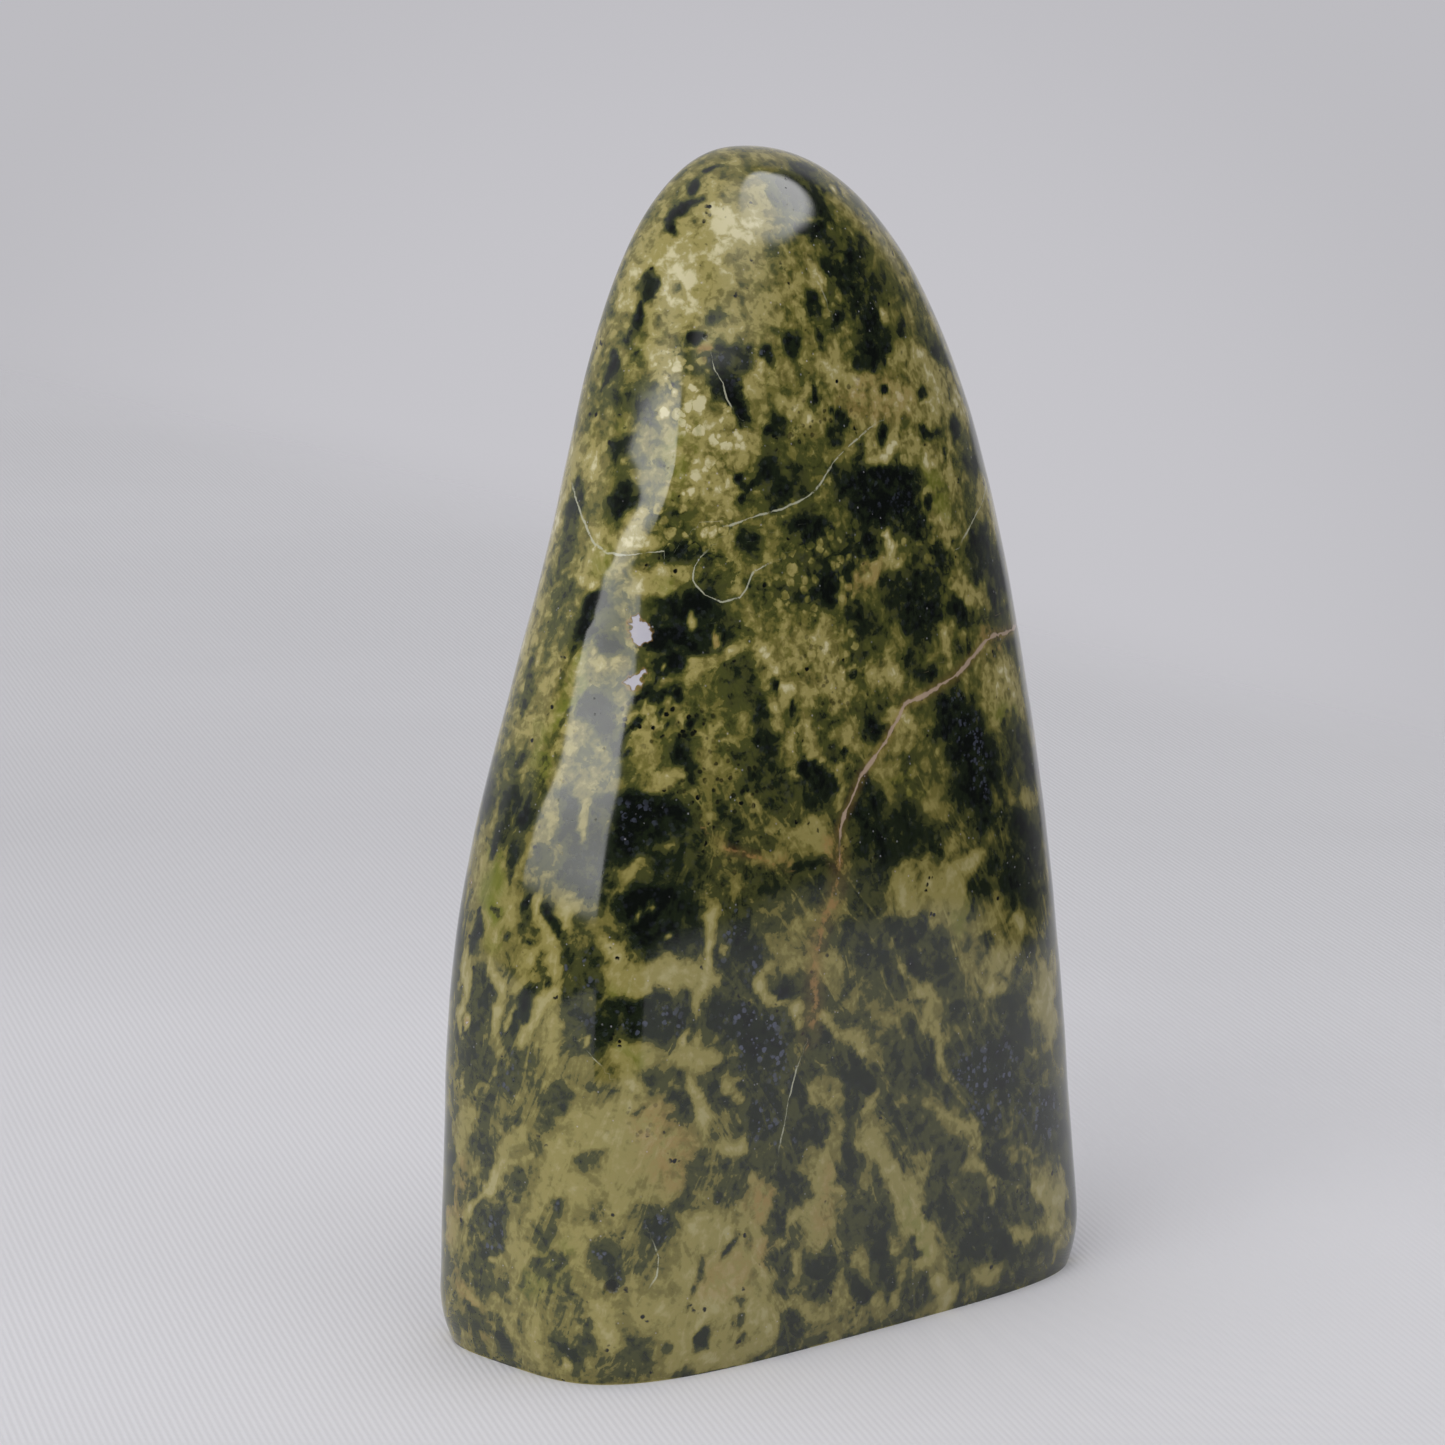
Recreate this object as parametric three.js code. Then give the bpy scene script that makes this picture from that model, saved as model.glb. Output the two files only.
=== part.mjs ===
// A tall freeform of serpentine rock, ground round and polished all over, on a flat sawn foot.
// Millimetres, +Z up. The origin is the middle of the foot, in the plane the stone stands on.
// X runs along the broad faces, -Y is the broad front face, and X is negative on the left.
import * as THREE from 'three';
import { mergeVertices } from 'three/addons/utils/BufferGeometryUtils.js';

// The blank, measured at the foot before its lower edge is rolled in.
const HEIGHT = 120;
const WIDTH = 73.4;
const DEPTH = 35;

// How each side closes over towards the top. A side with a small taper power starts to draw in
// low down, and one with a large power runs nearly straight up and rounds over near the top.
const LEFT_TAPER = 1.5;
const RIGHT_TAPER = 3.1;
const FRONT_TAPER = 3.9;
const BACK_TAPER = 1.7;
const CROWN_ROUNDING = 0.46;

// Level sections are rounded oblongs: square-cornered at the foot and almost oval higher up.
const FOOT_SQUARENESS = 3.9;
const TOP_SQUARENESS = 2.1;
const SQUARENESS_FALL = 3;

// Shallow swell round the lower half and a hollow high on the left side.
// Heights and spans are shares of HEIGHT, and depths are shares of the half width or half depth.
const BELLY_LEVEL = 0.36;
const BELLY_SPAN = 0.2;
const LEFT_BELLY = 0.085;
const FRONT_BELLY = 0.06;
const BACK_BELLY = 0.03;
const WAIST_LEVEL = 0.72;
const WAIST_SPAN = 0.16;
const LEFT_WAIST = 0.07;

// The tip stands off the middle of the foot by this much.
const LEAN_LEFT = 2.2;
const LEAN_BACK = 2.4;

// The lower edge is rolled in where the polish runs down to the saw cut.
const FOOT_ROLL = 1.2;
const FOOT_ROLL_HEIGHT = 6;

// Facets of the solid. Walls run up to the crown level, and the crown closes over them.
const STEPS_ACROSS = 28;
const STEPS_DEEP = 14;
const STEPS_UP = 36;
const CROWN_LEVEL = 0.85;
const FOOT_CROWDING = 1.2;

const STONE_COLOR = 0x5f6038;
const POLISH_ROUGHNESS = 0.12;

function bump(level, middle, span) {
  return Math.exp(-(((level - middle) / span) ** 2));
}

function closing(level, taper) {
  return Math.max(0, 1 - level ** taper) ** CROWN_ROUNDING;
}

// Half widths and half depths of the stone at one level, from 0 at the foot to 1 at the tip.
function reachOfSides(level) {
  const belly = bump(level, BELLY_LEVEL, BELLY_SPAN);
  const waist = bump(level, WAIST_LEVEL, WAIST_SPAN);
  const roll = FOOT_ROLL * Math.max(0, 1 - (level * HEIGHT) / FOOT_ROLL_HEIGHT) ** 2;
  const leftSwell = 1 + LEFT_BELLY * belly - LEFT_WAIST * waist;
  return {
    left: (WIDTH / 2) * closing(level, LEFT_TAPER) * leftSwell - roll,
    right: (WIDTH / 2) * closing(level, RIGHT_TAPER) - roll,
    front: (DEPTH / 2) * closing(level, FRONT_TAPER) * (1 + FRONT_BELLY * belly) - roll,
    back: (DEPTH / 2) * closing(level, BACK_TAPER) * (1 + BACK_BELLY * belly) - roll,
  };
}

// A point on the rim of one level section. The direction is a point on the edge of a unit square.
function rimPoint(level, across, deep) {
  const power = TOP_SQUARENESS
    + (FOOT_SQUARENESS - TOP_SQUARENESS) * (1 - level) ** SQUARENESS_FALL;
  const length = (Math.abs(across) ** power + Math.abs(deep) ** power) ** (-1 / power);
  const side = reachOfSides(level);
  const halfWidth = across < 0 ? side.left : side.right;
  const halfDepth = deep < 0 ? side.front : side.back;
  return new THREE.Vector3(
    across * length * halfWidth - LEAN_LEFT * level,
    deep * length * halfDepth + LEAN_BACK * level,
    level * HEIGHT,
  );
}

// The level of one ring of the crown, which goes from 0 at the tip to 1 where the walls begin.
function crownLevel(ring) {
  const taper = (LEFT_TAPER + RIGHT_TAPER + FRONT_TAPER + BACK_TAPER) / 4;
  const share = ring * closing(CROWN_LEVEL, taper);
  return (1 - share ** (1 / CROWN_ROUNDING)) ** (1 / taper);
}

// Moves one point of a cube from -1 to 1 on to the stone.
function pointOnStone(corner) {
  const ring = Math.max(Math.abs(corner.x), Math.abs(corner.y));
  const across = ring > 0 ? corner.x / ring : 1;
  const deep = ring > 0 ? corner.y / ring : 0;
  if (corner.z >= 1) {
    return rimPoint(crownLevel(ring), across, deep);
  }
  if (corner.z <= -1) {
    return rimPoint(0, across, deep).multiplyScalar(ring);
  }
  const climb = (corner.z + 1) / 2;
  return rimPoint(CROWN_LEVEL * climb ** FOOT_CROWDING, across, deep);
}

// A box with one grid of facets on each side, wrapped on to the stone and centred over its foot.
function stoneGeometry() {
  const box = new THREE.BoxGeometry(2, 2, 2, STEPS_ACROSS, STEPS_DEEP, STEPS_UP);
  box.deleteAttribute('normal');
  box.deleteAttribute('uv');
  const stone = mergeVertices(box);
  const places = stone.getAttribute('position');
  for (let i = 0; i < places.count; i += 1) {
    const place = pointOnStone(new THREE.Vector3().fromBufferAttribute(places, i));
    places.setXYZ(i, place.x, place.y, place.z);
  }
  stone.computeBoundingBox();
  const middle = stone.boundingBox.getCenter(new THREE.Vector3());
  stone.translate(-middle.x, -middle.y, 0);
  stone.computeVertexNormals();
  return stone;
}

const polishedStone = new THREE.MeshStandardMaterial({
  color: STONE_COLOR,
  roughness: POLISH_ROUGHNESS,
  metalness: 0,
});

const stone = new THREE.Mesh(stoneGeometry(), polishedStone);
stone.name = 'polished_serpentine';

const group = new THREE.Group();
group.add(stone);

export default group;
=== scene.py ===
"""Looks of a polished serpentine freeform: a marbled stone with a sawn foot, on a pale studio floor."""
import math

import bpy
import numpy as np
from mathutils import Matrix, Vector


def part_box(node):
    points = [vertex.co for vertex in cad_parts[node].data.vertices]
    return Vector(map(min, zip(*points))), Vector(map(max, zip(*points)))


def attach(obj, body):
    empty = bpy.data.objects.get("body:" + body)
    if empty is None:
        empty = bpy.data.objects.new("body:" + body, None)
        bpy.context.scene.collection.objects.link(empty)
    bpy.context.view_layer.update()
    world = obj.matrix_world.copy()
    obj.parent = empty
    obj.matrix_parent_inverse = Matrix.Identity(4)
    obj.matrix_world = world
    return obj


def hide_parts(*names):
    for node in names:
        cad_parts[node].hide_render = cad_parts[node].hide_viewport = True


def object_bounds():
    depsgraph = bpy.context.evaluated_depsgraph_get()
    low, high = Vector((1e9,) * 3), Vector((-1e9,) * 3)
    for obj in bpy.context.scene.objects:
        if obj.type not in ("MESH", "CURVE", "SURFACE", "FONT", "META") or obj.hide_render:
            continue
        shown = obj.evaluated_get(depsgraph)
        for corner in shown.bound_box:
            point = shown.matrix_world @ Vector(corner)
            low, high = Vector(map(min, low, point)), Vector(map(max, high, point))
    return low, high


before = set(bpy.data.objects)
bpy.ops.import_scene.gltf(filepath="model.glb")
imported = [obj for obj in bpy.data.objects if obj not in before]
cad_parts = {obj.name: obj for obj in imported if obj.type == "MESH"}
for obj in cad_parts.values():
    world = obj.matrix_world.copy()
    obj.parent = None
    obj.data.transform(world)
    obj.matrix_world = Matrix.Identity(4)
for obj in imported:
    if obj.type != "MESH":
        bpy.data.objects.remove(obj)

bl_info = {
    "name": "Polished Serpentine",
    "version": (1, 0, 0),
    "blender": (4, 5, 0),
    "location": "3D View > Sidebar > Stone",
    "description": "Builds a marbled, polished serpentine freeform and the pale floor it stands on",
    "category": "Add Mesh",
}

CAD_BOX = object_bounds()
CAD_NODE = "polished_serpentine"
MM = 0.001
SEED = 517

# ---------------------------------------------------------------------------------------------
# Form of the stone, in millimetres. These are the values of the solid in the frame.

HEIGHT = (CAD_BOX[1].z - CAD_BOX[0].z) / MM
WIDTH = 73.4
DEPTH = 35.0
LEFT_TAPER = 1.5
RIGHT_TAPER = 3.1
FRONT_TAPER = 3.9
BACK_TAPER = 1.7
CROWN_ROUNDING = 0.46
FOOT_SQUARENESS = 3.9
TOP_SQUARENESS = 2.1
SQUARENESS_FALL = 3
BELLY_LEVEL = 0.36
BELLY_SPAN = 0.2
LEFT_BELLY = 0.085
FRONT_BELLY = 0.06
BACK_BELLY = 0.03
WAIST_LEVEL = 0.72
WAIST_SPAN = 0.16
LEFT_WAIST = 0.07
LEAN_LEFT = 2.2
LEAN_BACK = 2.4
FOOT_ROLL = 1.2
FOOT_ROLL_HEIGHT = 6
CROWN_LEVEL = 0.85
FOOT_CROWDING = 1.2

# Most that the box of the fine stone may be off that of the solid.
FORM_TOLERANCE = 0.15

# Points lower than this lie on the sawn foot.
FOOT_LEVEL = 0.01

# The chart stops just below the tip, where the level sections shrink to nothing.
TOP_LEVEL = 0.9995

# Facets of the finely shaped stone, and the angle that keeps its foot's rim sharp.
STEPS_ACROSS = 142
STEPS_DEEP = 66
STEPS_UP = 184
SHARP_ANGLE = math.radians(55)

# Points on one ring of the chart that places the markings.
RING_STEPS = 960

# Random sways of the markings, (wavelength, reach), and the unevenness of the polished surface.
SLOW_SWAY = (5.0, 0.35)
QUICK_SWAY = (1.9, 0.13)
SURFACE_WAVELENGTH = 11.0
WAVES_PER_AXIS = 7

# Width of a stroke at its two ends, as a share of its width in the middle.
TIP_WIDTH = 0.55

# Sizes of strokes as shares of their radius, and how much stronger the thinnest strokes are.
STROKE_REACH = 1.15
ZONE_SOFTNESS = 0.7
TINT_SOFTNESS = 0.6
THIN_STROKE_BOOST = 0.75

# Veins are kept on the points near them. They fade out between two distances and over a short way
# at both ends. Everywhere else their offset is one large value.
VEIN_REACH = 2.4
VEIN_FADE = (1.2, 2.2)
VEIN_TIP = 1.6
FAR_OFFSET = 20.0

# Depth of the points that lie well outside all chips or pits.
OUTSIDE_CHIPS = -3.0

# Streaks grow stronger downwards, edges crisper to the left, and the polish duller at the upper left.
LEAST_STREAKS = 0.25
STREAKS_GROW = (72, 46)
CRISPNESS_GROWS = (12, -12)
DULLER_UPWARDS = (88, 101)
DULLER_LEFTWARDS = (-5, -15)

# ---------------------------------------------------------------------------------------------
# Markings. A place on the stone is (along, height) in millimetres: along runs round the level
# section from the middle of the front face, positive to the right and negative to the left.
# A stroke is (tone, radius, along, height, along, height, ...). Strokes taper towards their ends.

INK = -1.2
DARK = -0.9
DUSK = -0.5
MOSS = -0.15
SHADE = 0.04
KHAKI = 0.12
STRAW = 0.4
PALE = 0.75
CREAM = 1.15

# Paleness of the plain rock at some heights, and how much paler it is low on the left.
GROUND_HEIGHTS = (40, 56, 76, 90, 104)
GROUND_TONES = (-0.32, -0.2, -0.13, 0.03, 0.16)
PALER_LOW_LEFT = 0.24
PALER_LEFTWARDS = (-8, -28)
PALER_DOWNWARDS = (46, 34)

# How much the dark parts weaken near the foot, everywhere and more so at the left.
SOFT_DARKS_DOWNWARDS = (40, 28)
SOFT_DARKS_SHARE = 0.25
SOFT_DARKS_AT_LEFT = 0.28

# How much the pale parts weaken round the middle, everywhere and more so at the left.
SOFT_PALES_START = (46, 54)
SOFT_PALES_END = (76, 68)
SOFT_PALES_SHARE = 0.15
SOFT_PALES_AT_LEFT = 0.5
SOFTER_LEFTWARDS = (6, -14)

# Broad areas of the rock.
ZONES = (
    (PALE, 3.6, -15, 111, -14, 105), (PALE, 3.2, -10, 111, -5, 113.5), (DUSK, 3.4, 4, 109, 9, 107),
    (STRAW, 5, 0, 94, 18, 95), (PALE, 3, -15, 97, -13, 92), (PALE, 3, -16, 90, -17, 85),
    (MOSS, 3, -22, 100, -20, 95), (MOSS, 3.4, -8, 91, -6, 85), (DARK, 3.6, 3, 87, 8, 84.5),
    (MOSS, 3.4, -8, 82, -2, 80), (STRAW, 3.4, 13, 87, 16, 82.5), (DUSK, 4.4, 20, 77, 26, 74),
    (MOSS, 3, 22, 88, 27, 86), (STRAW, 3, 24, 83, 29, 81), (STRAW, 2.4, -28, 82, -26.5, 80),
    (KHAKI, 2.6, -4, 100, -1, 97), (DARK, 3.2, -21, 75, -18, 74), (PALE, 3.4, -8, 72, -4, 68),
    (DUSK, 3.4, 6, 75.5, 11, 73), (KHAKI, 3.2, -25.5, 65, -22, 67.5), (DUSK, 2.4, -17, 69.5, -13.5, 68.5),
    (SHADE, 2.4, -18.5, 66, -17.5, 57), (DARK, 3, -27, 56, -24, 54.5), (DUSK, 3, -14.5, 62, -12, 56),
    (STRAW, 3, 3, 59, 9, 57), (DARK, 3.6, 14.5, 61, 16, 53), (STRAW, 3.4, 20, 65, 26, 61),
    (DUSK, 3, 21, 58, 26, 57), (DARK, 2.6, 0, 53.5, 7, 50), (STRAW, 3, 2, 46, 12, 45),
    (DARK, 3, 21, 46, 25, 43.5), (STRAW, 4.5, -42, 76, -38, 64), (MOSS, 2.6, -31, 68, -33, 58),
    (MOSS, 4, -47, 66, -51, 55), (STRAW, 4, -46, 52, -44, 44), (STRAW, 5, -33, 84, -37, 92),
    (DUSK, 4, -18, 45, -17, 40), (KHAKI, 3, -12, 46, -9, 41), (DUSK, 4.5, -17, 35, -13, 27),
    (DARK, 3.4, -27.8, 47, -26, 45), (DARK, 2.8, -31, 37.5, -26, 36.5), (DUSK, 3, -34.5, 42, -33.5, 35),
    (MOSS, 4, -3, 38, 5, 34), (KHAKI, 3.4, 13, 39, 21, 37.5), (DUSK, 6, 12, 27, 21, 22),
    (STRAW, 3, 27, 34, 28, 28), (PALE, 4.2, -34, 26, -28, 23), (STRAW, 3, -38, 22, -35, 19),
    (STRAW, 5, -24, 12, -19, 10), (STRAW, 3.4, -29, 9, -27, 6), (STRAW, 3, -44, 15, -42, 11),
    (KHAKI, 3, -46, 5, -41, 4), (DUSK, 4, -49, 30, -47, 38), (DUSK, 3, -43.5, 33, -43, 29),
    (STRAW, 2.6, -8, 22, -8, 12), (KHAKI, 3, -8, 4, -2, 2.5), (DUSK, 4, 14, 8, 18, 6),
    (STRAW, 3, 25, 11, 28, 6), (DUSK, 3.4, 27, 19, 29, 15), (MOSS, 4, 5, 24, 2, 21),
    (CREAM, 3.4, -25, 4, -16, 5), (DUSK, 2.4, -32.5, 59, -33, 52),
)

PALE_PARTS = (
    # Crown and shoulder.
    (CREAM, 1.4, -9, 112.6, -5, 113.6), (CREAM, 1.2, -15, 110, -14.2, 105.5), (PALE, 1, -12, 111, -10, 107),
    (CREAM, 0.9, -15.8, 98, -15, 93.5), (PALE, 1, -12.6, 97, -12, 92.5), (PALE, 1.1, -17.8, 96, -18.5, 91),
    (PALE, 1.2, -18.5, 102, -17.5, 98.5), (PALE, 1.3, -22, 105.5, -20.5, 108),
    (PALE, 0.9, -15.5, 88.5, -14, 86.5), (PALE, 1, -19.5, 88, -18.5, 85.5),
    (CREAM, 1.3, -23.8, 84, -22.3, 83), (PALE, 1.1, -27.4, 83.5, -27.8, 80.8),
    (PALE, 0.9, -29.3, 79.8, -28.8, 78.4), (PALE, 1, -28, 92, -29.5, 87), (PALE, 1.2, 6, 96, 10, 94.5),
    (PALE, 1.1, 14, 97, 18, 95), (PALE, 1, 3, 98, 1, 96.5), (PALE, 0.9, 12.5, 88.5, 14.5, 86),
    (PALE, 0.9, 15.5, 84, 14, 82), (PALE, 1, -5.5, 96, -4, 94), (PALE, 1, 0.5, 109.5, 1.5, 107),
    (PALE, 1, -5, 106, -8, 104), (PALE, 1, -1, 99.5, 0.5, 97.5), (PALE, 1.2, 12, 99, 15, 98),
    (PALE, 0.9, 4, 90, 9, 90.5), (PALE, 1, 20, 94, 24, 92), (PALE, 1, -20.5, 79.6, -23.8, 78.8),
    # Left side.
    (PALE, 1.2, -33, 90, -35, 84, -37.5, 78), (PALE, 1.4, -40, 76, -43, 69, -46, 62),
    (PALE, 1, -31, 71.5, -27, 71), (CREAM, 0.9, -30.3, 72, -32, 69, -33.5, 66.5, -34.5, 65),
    (PALE, 0.9, -33, 66, -34, 62), (STRAW, 1, -36, 61, -32, 60), (PALE, 0.7, -30.5, 62, -33, 58, -33, 53.5),
    (PALE, 1, -37, 57.5, -39, 52.5), (PALE, 1.2, -49, 56, -51, 50), (PALE, 1, -43.5, 49, -42, 45),
    (PALE, 0.8, -38, 48, -38, 45), (PALE, 0.7, -35.5, 49, -35, 46),
    (PALE, 0.6, -45.2, 46, -44.8, 41, -44.6, 37, -45, 33, -45.5, 30.5), (PALE, 0.6, -49.5, 42, -51, 34),
    (PALE, 0.7, -38.5, 48, -37.8, 45, -37.4, 42.5, -36.8, 41), (CREAM, 0.6, -37.6, 43, -37.1, 41.4),
    (PALE, 0.6, -37, 41, -39, 38, -41, 34.5, -42.3, 31.5),
    (PALE, 0.6, -38.5, 45, -40, 42.5, -41.4, 39.5, -43, 35.5),
    (STRAW, 0.5, -37.2, 40, -37.5, 36, -38.5, 32, -40.5, 28), (STRAW, 0.8, -50, 27, -52.5, 20),
    (PALE, 0.5, -41.5, 22.8, -44, 22, -46, 20, -48.5, 18, -50.5, 15.5, -52.5, 13.5),
    (STRAW, 0.7, -42, 26.5, -44.5, 23.5, -46.5, 21), (STRAW, 1.2, -54, 14, -55, 11),
    # Middle of the front.
    (PALE, 0.6, -15, 72.9, -17, 72, -19, 71, -21, 70, -22.8, 69, -24, 67.8), (PALE, 1.3, -7, 73, -5, 70),
    (PALE, 1.1, -3, 69, -4, 66.5), (PALE, 1.5, 1, 69, 4, 67),
    (STRAW, 0.8, 12, 77, 12.5, 73, 12.8, 69, 13, 67.5), (STRAW, 1.3, 15, 76, 19, 74, 21, 72.5),
    (PALE, 1, 0.5, 78, 4, 78.8, 6, 79), (STRAW, 1.2, -4, 63, -1, 61),
    (PALE, 0.6, -12.5, 72.8, -11, 70.2, -9.8, 67.5, -8.3, 64, -6.8, 61.3, -5.2, 58.6, -4.8, 56),
    (STRAW, 0.8, -13.2, 72, -12.4, 69.4, -11.3, 66.3, -10.7, 62.8, -10.3, 59.4),
    (STRAW, 2, 19, 63, 27, 62.5), (PALE, 0.8, 3, 64.5, 6, 62), (STRAW, 1, 22, 52.5, 28, 51),
    (STRAW, 0.9, 4, 58.5, 8, 57.2), (STRAW, 0.7, -30.5, 50, -28, 52, -25.5, 53, -23.5, 53.8),
    (KHAKI, 0.8, -10.5, 52.5, -7.5, 52.8, -6, 52), (PALE, 0.8, 3.5, 49, 4.5, 46.5),
    (PALE, 1.1, 7, 46, 12, 45.5), (PALE, 0.6, 10, 47, 16.5, 47.8), (PALE, 1.1, 3, 46, 5, 43.8),
    (STRAW, 1, -22, 60.5, -26, 60), (STRAW, 0.9, -15.5, 58.5, -13, 55),
    (STRAW, 0.6, -20, 56, -18.6, 53.6, -17.4, 52, -16.6, 49),
    (PALE, 0.8, -16.5, 52.2, -13.5, 51.4, -11.5, 50.6), (STRAW, 1.2, -11.2, 53.2, -8.6, 53.6, -6.6, 52.4),
    # Waist.
    (PALE, 0.8, -32.5, 45, -31.6, 42.8, -30.8, 41), (PALE, 1.2, -30.8, 39.6, -29.3, 40.6, -28, 41.8),
    (PALE, 0.9, -28, 41.8, -25, 41, -22, 40.6, -20.4, 40.8),
    (PALE, 0.55, -20.9, 48, -20.8, 45, -21.5, 42.5, -22.3, 40.5, -23.5, 37.5, -24.4, 34.5),
    (PALE, 1.1, -31.2, 33.3, -29, 33.8, -27, 33), (PALE, 0.8, -30.4, 32, -30, 30),
    (PALE, 1.2, -25.5, 32.6, -22, 32.4), (PALE, 0.7, -24, 31, -23.3, 28, -22.6, 25),
    (STRAW, 0.5, -20.3, 30.5, -19.2, 27.6), (PALE, 0.8, -21, 23.4, -18.6, 22),
    (PALE, 0.6, -19.5, 44, -17.5, 41, -16, 39.5, -14, 37.5, -12, 36, -10.5, 33.5),
    (STRAW, 0.8, -7.5, 41, -6, 37), (STRAW, 0.6, -8.5, 35, -6, 33, -3, 31, -1, 30.3),
    (STRAW, 1.6, 11, 44, 11.5, 41), (STRAW, 1, 15.5, 33.5, 18.5, 33),
    (STRAW, 0.6, 0, 41.5, 1.5, 39.5, 3, 37.5, 5, 36, 6.5, 34.5, 7.5, 32, 8.2, 28.5, 9.5, 25.5, 10.5, 24),
    (PALE, 0.6, 20, 40.3, 22.5, 39.5, 24.3, 38.3), (PALE, 1.8, 27, 32.5, 28, 29),
    (STRAW, 0.6, 17, 37, 21, 35),
    # Foot.
    (PALE, 2.4, -33.5, 26.5, -30, 25.5), (PALE, 2.2, -29, 26, -27.4, 20.5),
    (PALE, 1.4, -36.5, 21.5, -38, 24), (STRAW, 1.2, -39.5, 23, -41, 16),
    (STRAW, 1.2, -37.5, 16.5, -36.5, 12.5), (PALE, 1.5, -33.5, 20, -30, 19),
    (PALE, 1.2, -34.6, 8, -33.6, 6.5, -33, 4), (STRAW, 1.4, -43, 8, -41.5, 3),
    (PALE, 1.2, -28.4, 7.6, -26.4, 6), (PALE, 2, -25, 10, -19.5, 9.5), (PALE, 1.5, -24.5, 16, -20.5, 14.5),
    (PALE, 1.2, -16.5, 19.5, -16, 15.5), (PALE, 0.7, -17.5, 15, -16.5, 11, -15.5, 8),
    (STRAW, 0.7, -9, 28.5, -8, 25), (PALE, 1.2, -23, 5, -17, 6), (PALE, 2, -26, 2.8, -15, 2.6),
    (STRAW, 1.2, -6.8, 28, -6.6, 22, -7.6, 17, -8.5, 12), (STRAW, 0.4, -1.7, 29, -1.7, 21, -1.5, 18),
    (PALE, 1.3, -2, 21, 0.3, 18.5, 2, 15.5, 4, 13, 4.7, 10.5, 6, 8, 8, 5, 9.5, 2, 9.5, 0.5),
    (STRAW, 0.9, 2.5, 7, 2.5, 3), (STRAW, 1, -3.4, 9, -2.6, 7.4), (STRAW, 1.2, 15, 3.5, 18, 2.5),
    (STRAW, 0.9, 8.6, 23, 9.5, 21),
    (STRAW, 1, 10.5, 21, 12.5, 18.5, 14, 16.5, 15.5, 14.5, 17, 12, 16.5, 10.5),
    (STRAW, 0.9, 18, 8, 22, 5.5), (PALE, 1.6, 28, 9, 27.4, 6.4), (PALE, 0.6, 23.5, 10.7, 25.5, 10.8),
    (STRAW, 0.7, 20.2, 17, 19.5, 14.5), (STRAW, 1.2, -12, 5.5, -9.5, 3), (STRAW, 1, -49.5, 5.5, -47.8, 7.5),
    (STRAW, 0.8, -13, 14.6, -10, 15.4), (STRAW, 0.8, -11, 11.5, -11.5, 8),
)

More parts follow.
